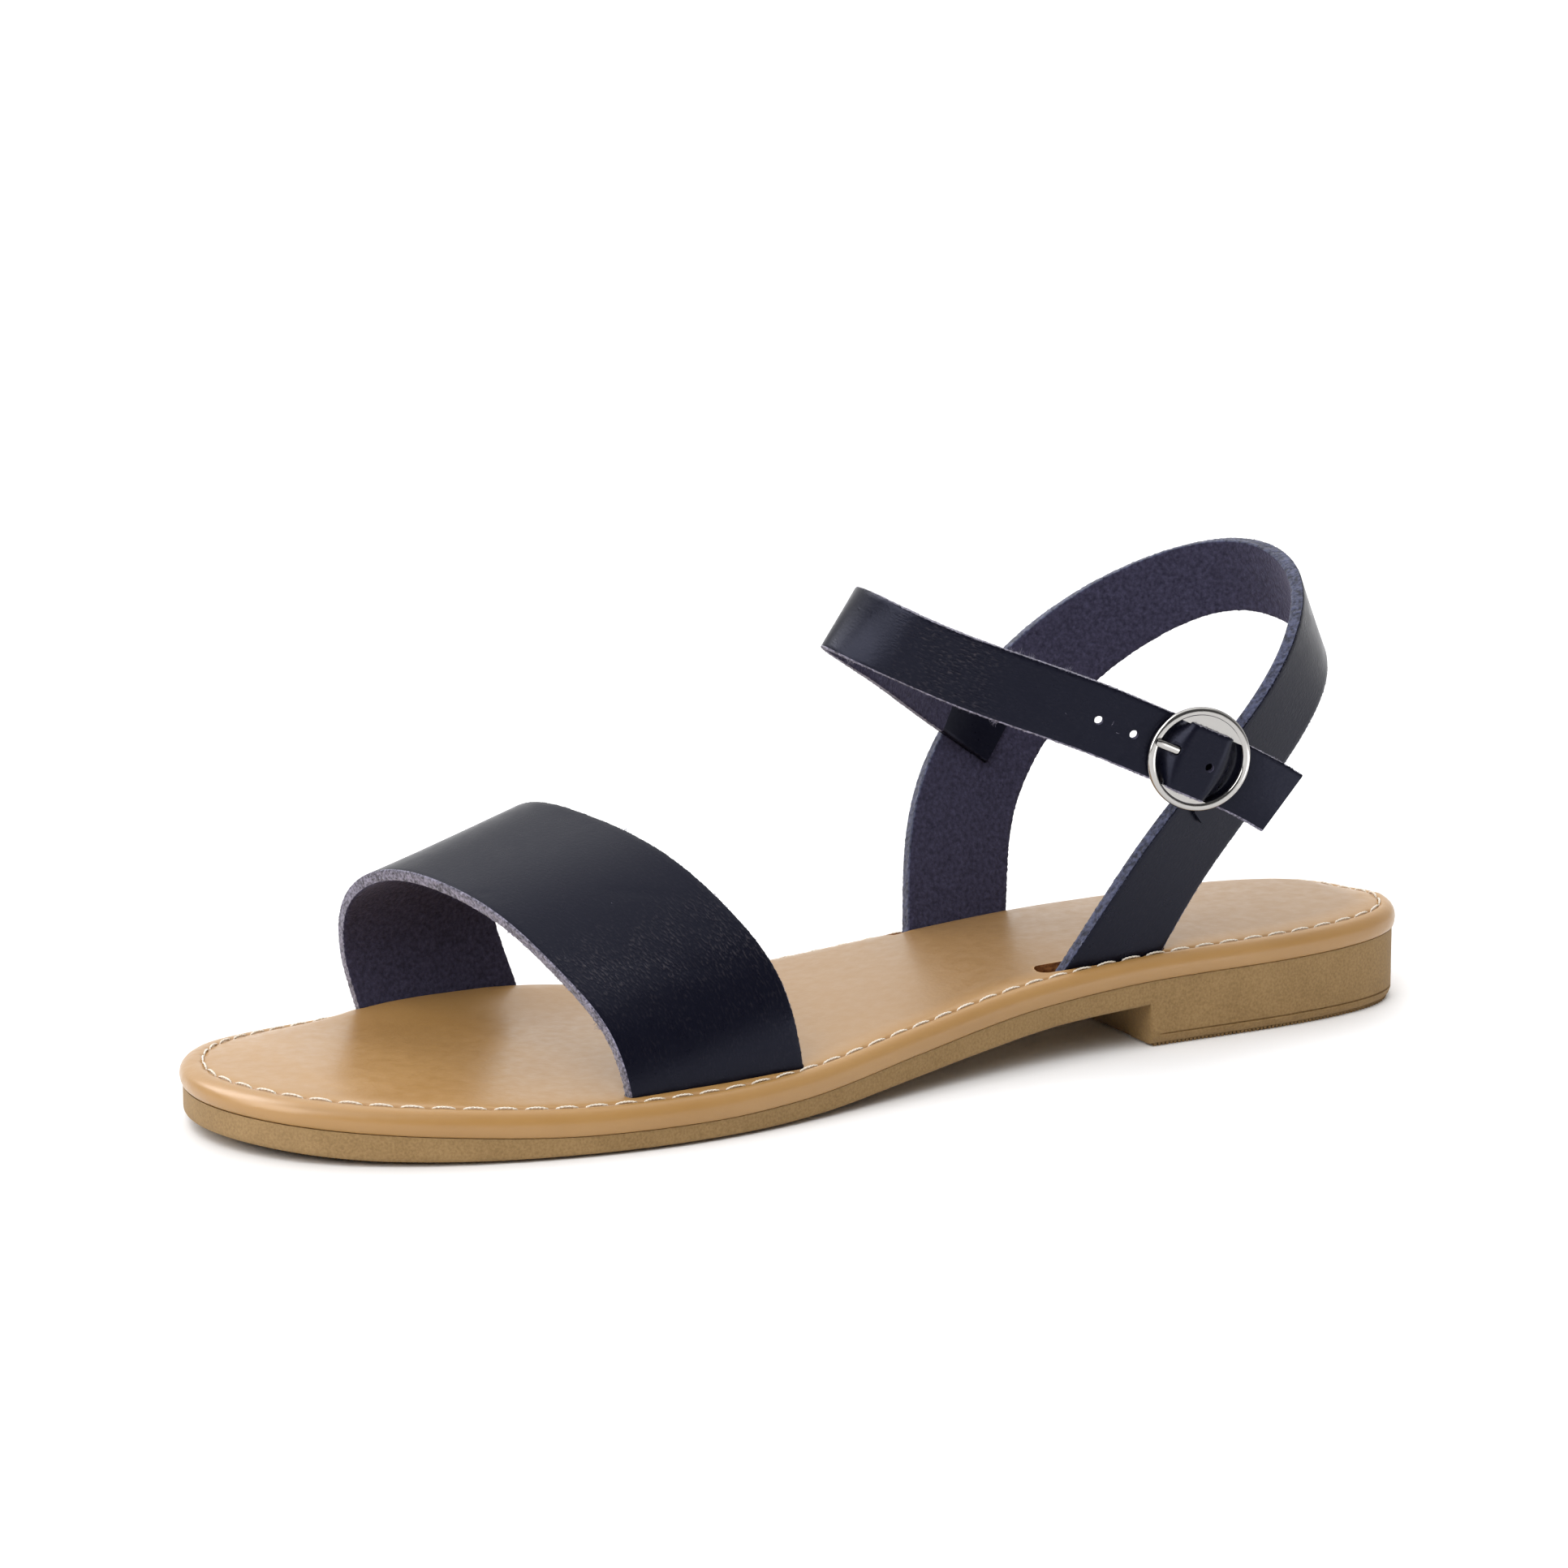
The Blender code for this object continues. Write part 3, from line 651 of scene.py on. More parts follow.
@dataclass
class Finishes:
    """Every material of the sandal, made once."""

    rubber: Material = field(default_factory=RubberFinish().build)
    footbed: Material = field(default_factory=FootbedFinish().build)
    slot: Material = field(default_factory=SlotFinish().build)
    grain: Material = field(default_factory=GrainFinish().build)
    flesh: Material = field(default_factory=FleshFinish().build)
    cut: Material = field(default_factory=CutFinish().build)
    blue_cut: Material = field(default_factory=BlueCutFinish().build)
    thread: Material = field(default_factory=ThreadFinish().build)
    metal: Material = field(default_factory=MetalFinish().build)


@contextmanager
def edited(mesh: bpy.types.Mesh) -> Iterator[bmesh.types.BMesh]:
    """A mesh opened for editing, and written back afterwards.

    Args:
        mesh: The mesh.

    Returns:
        A context that gives its editable form.
    """
    tidy = bmesh.new()
    tidy.from_mesh(mesh)
    yield tidy
    tidy.to_mesh(mesh)
    tidy.free()


def linked(name: str, data: bpy.types.ID) -> Piece:
    """A new object in the scene.

    Args:
        name: Its name.
        data: Its mesh, light or camera.

    Returns:
        The object.
    """
    made = bpy.data.objects.new(name, data)
    bpy.context.scene.collection.objects.link(made)
    return made


def mesh_object(
    name: str,
    verts: Array,
    faces: Sequence[Sequence[int]],
    materials: Sequence[Material],
    kinds: Sequence[int] | None = None,
    sharp: float = SHARP,
) -> Piece:
    """A smooth shaded mesh object with its faces pointing out.

    Args:
        name: The object's name.
        verts: Places in metres, one row each.
        faces: Corner numbers of each face.
        materials: Its materials.
        kinds: The material's number for each face, or None for the first.
        sharp: Edges with a larger angle than this, in degrees, stay sharp.

    Returns:
        The object, linked to the scene.
    """
    mesh = bpy.data.meshes.new(name)
    mesh.from_pydata(verts.tolist(), [], faces)
    for material in materials:
        mesh.materials.append(material)
    if kinds is not None:
        mesh.polygons.foreach_set("material_index", np.asarray(kinds, np.int32))
    with edited(mesh) as tidy:
        bmesh.ops.recalc_face_normals(tidy, faces=tidy.faces)
    smooth(mesh, sharp)
    return linked(name, mesh)


def smooth(mesh: bpy.types.Mesh, sharp: float = SHARP) -> None:
    """Smooth shading that keeps edges over an angle in degrees sharp."""
    mesh.polygons.foreach_set("use_smooth", [True] * len(mesh.polygons))
    mesh.set_sharp_from_angle(angle=math.radians(sharp))


def store(made: Piece, name: str, values: Array) -> None:
    """A number for each point of a mesh, for its material to read."""
    numbers = np.asarray(values, np.float32).ravel()
    made.data.attributes.new(name, "FLOAT", "POINT").data.foreach_set("value", numbers)


def cut_with(base: Piece, cutter: Piece) -> None:
    """Cut one body out of another; the cutter is used up and leaves its materials on the walls.

    Args:
        base: The body that stays.
        cutter: The body that is cut out.
    """
    change = base.modifiers.new("cut", "BOOLEAN")
    change.operation = "DIFFERENCE"
    change.solver = "EXACT"
    change.material_mode = "TRANSFER"
    change.object = cutter
    graph = bpy.context.evaluated_depsgraph_get()
    result = bpy.data.meshes.new_from_object(base.evaluated_get(graph))
    base.modifiers.clear()
    old = base.data
    base.data = result
    bpy.data.meshes.remove(old)
    result.name = base.name
    bpy.data.objects.remove(cutter, do_unlink=True)


def trim_below(made: Piece, height: float) -> None:
    """Cut away what is under a height, and close the cut.

    Args:
        made: The piece.
        height: The height in millimetres.
    """
    level = (0.0, 0.0, height * MM)
    with edited(made.data) as tidy:
        every = [*tidy.verts, *tidy.edges, *tidy.faces]
        cut = bmesh.ops.bisect_plane(tidy, geom=every, plane_co=level, plane_no=UP, clear_inner=True)
        rim = [item for item in cut["geom_cut"] if isinstance(item, bmesh.types.BMEdge)]
        bmesh.ops.holes_fill(tidy, edges=rim, sides=0)


def settle(made: Piece, slot: Slot, *nodes: str) -> Piece:
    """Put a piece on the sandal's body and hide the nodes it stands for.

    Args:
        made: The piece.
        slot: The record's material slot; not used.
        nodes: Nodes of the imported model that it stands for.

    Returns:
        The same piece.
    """
    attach(made, BODY)
    if nodes:
        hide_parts(*nodes)
    LOG.info("%s: %d faces", made.name, len(made.data.polygons))
    return made


def grid_faces(rows: int, columns: int, closed: bool) -> Array:
    """Quads of a grid of points, row after row.

    Args:
        rows: Number of rows of points.
        columns: Number of points in a row.
        closed: Whether each row runs round a loop.

    Returns:
        Four corner numbers for each face.
    """
    last = columns if closed else columns - 1
    i, j = np.meshgrid(np.arange(rows - 1), np.arange(last), indexing="ij")
    after = (j + 1) % columns
    corners = (i * columns + j, i * columns + after, (i + 1) * columns + after, (i + 1) * columns + j)
    return np.stack(corners, axis=-1).reshape(-1, 4)


def tube_faces(rows: int, columns: int, first: int = 0) -> list[list[int]]:
    """Faces of a tube of closed rows, with a cap on each end.

    Args:
        rows: Number of rows of points.
        columns: Number of points round a row.
        first: Number of the tube's first point.

    Returns:
        Corner numbers of each face.
    """
    faces = (grid_faces(rows, columns, True) + first).tolist()
    caps = np.arange(columns) + np.array([[first], [first + (rows - 1) * columns]])
    return faces + caps.tolist()


@dataclass
class Last:
    """Plan and heights that the sole and the footbed share."""

    centre_x: float = 0.95
    heel_back: float = -1.6
    toe_tip: Pair = (-3.0, 252.0)
    breast: float = 65.1
    rows: int = 480
    samples_per_row: int = 4
    lap: int = 4
    # station from the heel, reach to the outer side, reach to the inner side
    outline: Rows = (
        (4.0, 18.4, 15.8),
        (24.0, 26.2, 25.7),
        (46.0, 27.4, 26.5),
        (78.0, 28.0, 26.2),
        (112.0, 33.0, 30.2),
        (150.0, 41.6, 39.4),
        (178.0, 44.0, 45.0),
        (205.0, 40.0, 45.0),
        (229.0, 30.6, 37.0),
        (245.0, 17.0, 23.4),
    )
    # station, height of the footbed's underside
    underside: Rows = (
        (-1.6, 14.5),
        (30.0, 13.7),
        (60.0, 13.4),
        (90.0, 11.7),
        (120.0, 8.0),
        (150.0, 4.5),
        (168.0, 3.9),
        (190.0, 4.0),
        (220.0, 5.5),
        (252.0, 7.7),
    )
    # station, height of the sole's ground side ahead of the heel
    arch: Rows = (
        (65.1, 7.9),
        (85.0, 6.9),
        (105.0, 4.7),
        (125.0, 2.4),
        (145.0, 0.45),
        (160.0, 0.0),
        (205.0, 0.0),
        (228.0, 0.4),
        (252.0, 2.1),
    )
    plan: Array = field(init=False)
    inward: Array = field(init=False)

    def __post_init__(self) -> None:
        """Lay out the plan: heel back, outer side, toe tip, inner side."""
        outer = [(row[1], row[0]) for row in self.outline]
        inner = [(-row[2], row[0]) for row in reversed(self.outline)]
        loop = np.array([(0.0, self.heel_back), *outer, self.toe_tip, *inner])
        lap = self.lap
        wrapped = np.concatenate([loop[-lap:], loop, loop[:lap + 1]])
        chord = np.linalg.norm(np.diff(wrapped, axis=0), axis=1)
        curve = Curve(np.concatenate([[0.0], np.cumsum(np.sqrt(chord))]), wrapped)
        start, tip, end = curve.knots[[lap, lap + len(outer) + 1, lap + len(loop)]]
        samples = self.samples_per_row * self.rows
        outer_side = self.evened(curve.at(np.linspace(start, tip, samples)))
        inner_side = self.evened(curve.at(np.linspace(tip, end, samples)))
        self.plan = np.concatenate([outer_side[:-1], inner_side[:-1]])
        along = unit(np.roll(self.plan, -1, axis=0) - np.roll(self.plan, 1, axis=0))
        self.inward = np.stack([-along[:, 1], along[:, 0]], axis=1)

    def evened(self, dense: Array) -> Array:
        """Points at even distances along a line.

        Args:
            dense: Close points of the line.

        Returns:
            One more point than the rows.
        """
        run = np.concatenate([[0.0], np.cumsum(np.linalg.norm(np.diff(dense, axis=0), axis=1))])
        steps = np.linspace(0.0, run[-1], self.rows + 1)
        return np.stack([np.interp(steps, run, dense[:, k]) for k in range(2)], axis=1)

    def ring(self, inset: float | Array) -> Array:
        """Plan ring set in from the outline, by one distance or one for each point."""
        return self.plan + self.inward * np.reshape(inset, (-1, 1))

    @property
    def middle(self) -> float:
        """Station of the middle of the sole."""
        return (self.heel_back + self.toe_tip[1]) / 2

    def place(self, x: Array, station: Array, height: Array) -> Array:
        """Metres for places given by x, station and height."""
        return np.stack([(x + self.centre_x) * MM, (self.middle - station) * MM, height * MM], axis=-1)

    def station_of(self, spot: Array) -> Array:
        """Stations of places in metres."""
        return self.middle - spot[:, 1] / MM

    def ground(self, station: Array) -> Array:
        """Height of the ground side: level heel block, breast step, arch and toe spring."""
        return np.where(np.asarray(station) < self.breast, 0.0, eased(self.arch, station))

    def width_at(self, station: float, inset: float) -> tuple[float, float]:
        """Inner and outer x of a ring.

        Args:
            station: Where it is read.
            inset: The ring's inset from the outline.

        Returns:
            Both, inner first.
        """
        ring = self.ring(inset)
        outer = ring[:self.rows]
        inner = ring[self.rows:][::-1]
        return (
            float(np.interp(station, inner[:, 1], inner[:, 0])),
            float(np.interp(station, outer[:, 1], outer[:, 0])),
        )

    def shell(self, rings: Sequence[Array], columns: int, fills: Sequence) -> tuple[Array, list[list[int]]]:
        """Closed body of stacked rings, filled across its underside and its top.

        Args:
            rings: Rings of x, station and height, underside first.
            columns: Points across each fill.
            fills: Two functions of x, station and share across that give the height of each fill.

        Returns:
            Places in metres, and faces.
        """
        size = 2 * self.rows
        verts = [self.place(*ring.T) for ring in rings]
        faces = grid_faces(len(rings), size, True).tolist()
        count = len(rings) * size
        k = np.arange(1, self.rows)
        share = np.arange(1, columns) / columns
        for level, height in ((0, fills[0]), (len(rings) - 1, fills[1])):
            ring = rings[level]
            near, far = ring[k][:, None, :2], ring[size - k][:, None, :2]
            spot = near * (1.0 - share[:, None]) + far * share[:, None]
            x, station = spot[..., 0], spot[..., 1]
            verts.append(self.place(x, station, height(x, station, share)).reshape(-1, 3))
            numbers = count + np.arange(len(k) * len(share)).reshape(len(k), -1)
            count += numbers.size
            first = level * size
            table = np.column_stack([first + k, numbers, first + size - k])
            corners = (table[:-1, :-1], table[1:, :-1], table[1:, 1:], table[:-1, 1:])
            faces += np.stack(corners, axis=-1).reshape(-1, 4).tolist()
            for row, pole in ((table[0], first), (table[-1], first + self.rows)):
                faces += [[pole, int(a), int(b)] for a, b in zip(row[:-1], row[1:])]
        return np.concatenate(verts), faces


@dataclass
class Sole:
    """Moulded rubber sole: heel block, groove, arch, toe spring and fine cross ribs underneath."""

    last: Last
    finishes: Finishes
    joint_gap: float = 0.04
    rib_pitch: float = 0.9
    rib_depth: float = 0.45
    # first station, last station, inset from the outline
    rib_runs: Rows = (
        (1.5, 64.0, 1.6),
        (128.0, 246.0, 3.2),
    )
    columns: int = 8
    wall_inset: float = 0.6
    groove_height: float = 2.5
    groove_half: float = 0.19
    groove_depth: float = 0.32
    groove_fade: float = 2.0
    # offset in half heights of the groove, share of its depth
    groove: Rows = ((-2.2, 0.0), (-1.0, 0.0), (-0.6, 0.7), (0.0, 1.0), (0.6, 0.7), (1.0, 0.0), (2.2, 0.0))
    # share of the way up at which the groove's rings go on, plain, ahead of the breast
    plain_share: float = 0.3
    wall_shares: tuple[float, ...] = (0.45, 0.6, 0.75, 0.9, 1.0)
    # distance along in pitches, height in depths, of a rib's corners
    rib_section: Rows = ((-0.42, 1.25), (0.42, 1.25), (0.22, 0.0), (-0.22, 0.0))
    # inset from the outline, share of the way up from the ground
    edge: Rows = (
        (2.3, 0.0),
        (1.7, 0.008),
        (1.25, 0.025),
        (0.95, 0.05),
        (0.75, 0.085),
        (0.65, 0.12),
    )

    def walls(self) -> list[Array]:
        """Rings of the side wall.

        Returns:
            Rows of x, station and height for each ring, ground side first.
        """
        base = self.last.ring(self.wall_inset)
        high = eased(self.last.underside, base[:, 1]) - self.joint_gap
        low = self.last.ground(base[:, 1]) + self.rib_depth
        behind = self.last.breast - base[:, 1]
        fade = np.clip(behind / self.groove_fade - 0.5, 0.0, 1.0)
        rings = []
        for inset, share in self.edge:
            plan = self.last.ring(inset)
            rings.append(np.column_stack([plan, low + (high - low) * share]))
        level = np.where(behind > 0.0, self.groove_height, low + (high - low) * self.plain_share)
        for offset, dip in self.groove:
            plan = self.last.ring(self.wall_inset + dip * self.groove_depth * fade)
            rings.append(np.column_stack([plan, level + offset * self.groove_half]))
        for share in self.wall_shares:
            rings.append(np.column_stack([base, low + (high - low) * share]))
        return rings

    def build(self) -> None:
        """Make the moulding and its ribs."""
        last = self.last
        fills = (
            lambda x, station, share: last.ground(station) + self.rib_depth,
            lambda x, station, share: eased(last.underside, station) - self.joint_gap,
        )
        verts, faces = last.shell(self.walls(), self.columns, fills)
        made = mesh_object("sole_moulding", verts, faces, [self.finishes.rubber], sharp=35.0)
        settle(made, Slot.RUBBER, "outsole")
        self.ribs()

    def ribs(self) -> None:
        """Fine ribs across the heel and the forefoot, joined in one mesh."""
        verts = []
        faces = []
        run, rise = np.array(self.rib_section).T
        for start, end, inset in self.rib_runs:
            for station in np.arange(start, end, self.rib_pitch):
                x = np.repeat(self.last.width_at(station, inset), len(run))
                away = np.tile(station + run * self.rib_pitch, 2)
                height = np.tile(float(self.last.ground(station)) + rise * self.rib_depth, 2)
                faces += tube_faces(2, len(run), len(verts) * len(x))
                verts.append(self.last.place(x, away, height))
        made = mesh_object("sole_ribs", np.concatenate(verts), faces, [self.finishes.rubber], sharp=20.0)
        settle(made, Slot.RUBBER)


@dataclass
class Footbed:
    """Firm footbed with a rolled edge, a sewn channel, and slots for the straps."""

    last: Last
    finishes: Finishes
    bank: float = 0.0026
    crown: float = 0.6
    crown_full_width: float = 34.0
    swell_place: Pair = (-38.0, 180.0)
    swell_reach: Pair = (12.0, 26.0)
    swell_height: float = 2.9
    columns: int = 26
    pitch: float = 5.6
    hole_depth: float = 0.42
    hole_run: float = 0.55
    hole_width: float = 0.32
    # painted shade in the needle holes
    hole_shade: float = 0.85
    # painted shade at the rolled edge's foot, and how many rings it covers
    foot_shade: float = 0.12
    foot_rings: int = 2
    # distance over which the inner fall fades in from the last ring, and the rise at which it is full
    fall_fade: float = 6.0
    fall_rise: float = 4.4
    channel_ring: int = 14
    # station, inset of the sewn line
    sewn_line: Rows = (
        (-1.6, 3.2),
        (40.0, 2.9),
        (72.0, 2.5),
        (100.0, 2.7),
        (150.0, 2.7),
        (190.0, 2.8),
        (225.0, 3.3),
        (252.0, 4.5),
    )
    # station, fall of the sewn edge on the inner side
    inner_fall: Rows = (
        (-1.6, 1.3),
        (20.0, 1.5),
        (60.0, 1.5),
        (110.0, 1.4),
        (150.0, 1.2),
        (205.0, 1.4),
        (226.0, 1.0),
        (240.0, 0.3),
        (252.0, 0.0),
    )
    # inset from the outline where the sewn line is 3 mm in, height above the underside
    edge: Rows = (
        (0.90, 0.00),
        (0.50, 0.10),
        (0.25, 0.40),
        (0.08, 1.00),
        (0.00, 1.80),
        (0.06, 2.45),
        (0.22, 3.05),
        (0.50, 3.58),
        (0.90, 4.00),
        (1.35, 4.31),
        (1.85, 4.49),
        (2.25, 4.55),
        (2.55, 4.52),
        (2.80, 4.42),
        (3.00, 4.36),
        (3.20, 4.43),
        (3.45, 4.56),
        (3.85, 4.70),
        (4.50, 4.82),
        (5.50, 4.92),
        (7.00, 5.02),
        (9.00, 5.10),
    )
    sewn_inset: float = 3.0
    # stations between which the painted shade on the seat fades out, and the inset where it is full
    seat_shade_fade: Pair = (95.0, 165.0)
    seat_shade_inset: float = 9.0
    inner_start: float = 8.0
    inner_reach: float = 12.0

    def height(self, x: Array, station: Array, rise: float | Array) -> Array:
        """Height of a layer, which thickens towards the outer side and at the toe strap's inner slot.

        Args:
            x: Distances to the outer side.
            station: Stations.
            rise: Height above the underside before it thickens.

        Returns:
            One height for each place.
        """
        across = (x - self.swell_place[0]) / self.swell_reach[0]
        along = (station - self.swell_place[1]) / self.swell_reach[1]
        swell = self.swell_height * np.exp(-(across**2) - along**4) / self.edge[-1][1]
        return eased(self.last.underside, station) + rise * (1.0 + self.bank * x + swell)

    def layer(self, inset: float, rise: float) -> Array:
        """One ring of the rolled edge, which falls off on the inner side of the heel and waist.

        Args:
            inset: Inset from the outline where the sewn line is at its usual inset.
            rise: Height above the underside.

        Returns:
            Rows of x, station and height.
        """
        plan = self.last.ring(inset * self.insets())
        inner = np.clip((self.inner_start - plan[:, 0]) / self.inner_reach, 0.0, 1.0)
        fade = min(1.0, max(0.0, (self.edge[-1][0] - inset) / self.fall_fade))
        fall = eased(self.inner_fall, plan[:, 1]) * inner * fade * fade * (3.0 - 2.0 * fade)
        return np.column_stack([plan, self.height(*plan.T, rise - fall * min(1.0, rise / self.fall_rise))])

    def insets(self) -> Array:
        """Scale of the insets at each point of the plan, from the sewn line's table."""
        return eased(self.sewn_line, self.last.plan[:, 1]) / self.sewn_inset

    def needle_runs(self) -> tuple[Array, Array]:
        """Distances along the sewn line.

        Returns:
            Those of each point of the plan, and of each needle hole.
        """
        line = self.last.ring(self.sewn_inset * self.insets())
        steps = np.linalg.norm(np.roll(line, -1, axis=0) - line, axis=1)
        run = np.concatenate([[0.0], np.cumsum(steps)])
        count = round(run[-1] / self.pitch)
        return run, np.arange(count) * run[-1] / count

    def top(self, x: Array, station: Array, share: Array) -> Array:
        """Height of the crowned top inside the last ring.

        Args:
            x: Distances to the outer side, by row and column.
            station: Stations, in the same way.
            share: Share of the way across of each column.

        Returns:
            One height for each place.
        """
        width = np.ptp(x, axis=1, keepdims=True)
        full = np.minimum(1.0, width / self.crown_full_width) ** 2
        crown = self.crown * 4.0 * share * (1.0 - share) * full
        return self.height(x, station, self.edge[-1][1] + crown)

    def build(self) -> Piece:
        """Make the cover, with its sewn channel; slots are cut later.

        Returns:
            The footbed's object.
        """
        run, holes = self.needle_runs()
        gap = np.abs(run[:-1, None] - holes[None, :])
        nearest = np.minimum(gap, run[-1] - gap).min(axis=1)
        dimple = np.exp(-((nearest / self.hole_run) ** 2))
        rings = []
        hole_and_foot_shade = []
        for level, (inset, rise) in enumerate(self.edge):
            ring = self.layer(inset, rise)
            hole = dimple * math.exp(-(((inset - self.sewn_inset) / self.hole_width) ** 2))
            ring[:, 2] -= hole * self.hole_depth
            rings.append(ring)
            # painted shade in the needle holes and on the lowest rings of the rolled edge
            foot = self.foot_shade if level < self.foot_rings else 0.0
            hole_and_foot_shade.append(np.maximum(hole * self.hole_shade, foot))
        fills = (lambda x, station, share: eased(self.last.underside, station), self.top)
        verts, faces = self.last.shell(rings, self.columns, fills)
        made = mesh_object("footbed_cover", verts, faces, [self.finishes.footbed], sharp=LEATHER_SHARP)
        # painted shade in the needle holes and at the rolled edge's foot, nought elsewhere
        painted_shade = np.zeros(len(verts))
        edge_points = len(rings) * 2 * self.last.rows
        painted_shade[:edge_points] = np.concatenate(hole_and_foot_shade)
        store(made, "hole_and_foot_shade", painted_shade)
        # painted shade on the seat, full behind the first station and inside the seat inset
        start, end = self.seat_shade_fade
        seat_shade = np.clip((end - self.last.station_of(verts)) / (end - start), 0.0, 1.0)
        insets = np.repeat([row[0] for row in self.edge], 2 * self.last.rows)
        inside = (insets - self.sewn_inset) / (self.seat_shade_inset - self.sewn_inset)
        seat_shade[:edge_points] *= np.clip(inside, 0.0, 1.0)
        store(made, "seat_shade", seat_shade)
        return made

    def seam_place(self, distance: Array) -> Array:
        """Metres for places along the sewn line, on the channel's floor.

        Args:
            distance: Distances along the line.

        Returns:
            One place for each distance.
        """
        run, _ = self.needle_runs()
        line = self.layer(*self.edge[self.channel_ring])
        closed = np.concatenate([line, line[:1]])
        return self.last.place(*(np.interp(distance % run[-1], run, column) for column in closed.T))


@dataclass
class EdgeStitching:
    """Cream thread sewn round the footbed: one two-ply arched stitch between each pair of needle holes."""

    footbed: Footbed
    finishes: Finishes
    ply_radius: float = 0.165
    ply_offset: float = 0.075
    twists: float = 3.0
    arch: float = 0.24
    sink: float = 0.35
    steps: int = 14
    sides: int = 6
    # shares of the pitch that a stitch starts at and covers
    start: float = 0.10
    cover: float = 0.80
    arch_power: float = 0.6
    sink_power: float = 0.35
    # share of the full thickness at a stitch's tips, and how fast it fills
    tip_share: float = 0.35
    tip_rate: float = 6.0

    def build(self) -> None:
        """Make every stitch in one mesh."""
        _, holes = self.footbed.needle_runs()
        pitch = holes[1] - holes[0]
        share = np.linspace(0.0, 1.0, self.steps + 1)
        swell = np.sin(math.pi * share)
        lift = self.arch * swell**self.arch_power - self.sink * (1.0 - swell**self.sink_power)
        filled = np.minimum(1.0, self.tip_rate * np.minimum(share, 1.0 - share) + self.tip_share)
        radius = self.ply_radius * MM * filled
        ring = (np.arange(self.sides) * FULL_TURN / self.sides)[None, :, None]
        verts = []
        faces = []
        for hole in holes:
            spine = self.footbed.seam_place(hole + (self.start + self.cover * share) * pitch)
            spine[:, 2] += (lift + self.ply_radius) * MM
            along = unit(np.gradient(spine, axis=0))
            side = unit(np.cross(along, UP))
            above = np.cross(side, along)
            circle = side[:, None] * np.cos(ring) + above[:, None] * np.sin(ring)
            for ply in (0.0, math.pi):
                turn = (ply + share * self.twists * FULL_TURN)[:, None]
                centre = spine + (side * np.cos(turn) + above * np.sin(turn)) * self.ply_offset * MM
                tube = centre[:, None] + circle * radius[:, None, None]
                faces += tube_faces(self.steps + 1, self.sides, len(verts) * (self.steps + 1) * self.sides)
                verts.append(tube.reshape(-1, 3))
        made = mesh_object("edge_stitches", np.concatenate(verts), faces, [self.finishes.thread])
        settle(made, Slot.TAN)


@dataclass(frozen=True)
class Crease:
    """A soft trough in a strap, or a ridge where its depth is below zero."""

    along: float
    across: float
    run: float
    width: float
    depth: float
    # degrees from straight across the strap
    turn: float = 0.0

    def dip(self, along: Array, across: Array) -> Array:
        """Depth of the trough.

        Args:
            along: Distances along the strap.
            across: Distances across it.

        Returns:
            One depth for each place.
        """
        angle = math.radians(self.turn)
        u = (across - self.across) * math.cos(angle) + (along - self.along) * math.sin(angle)
        v = (along - self.along) * math.cos(angle) - (across - self.across) * math.sin(angle)
        reach = np.clip(1.0 - (2.0 * u / self.run) ** 2, 0.0, 1.0) ** 2
        return self.depth * reach * np.exp(-((v / self.width) ** 2))


@dataclass(frozen=True)
class Scuff:
    """A pale sliver raised from a strap's face."""

    along: float
    across: float
    length: float
    # degrees from the strap's run
    turn: float


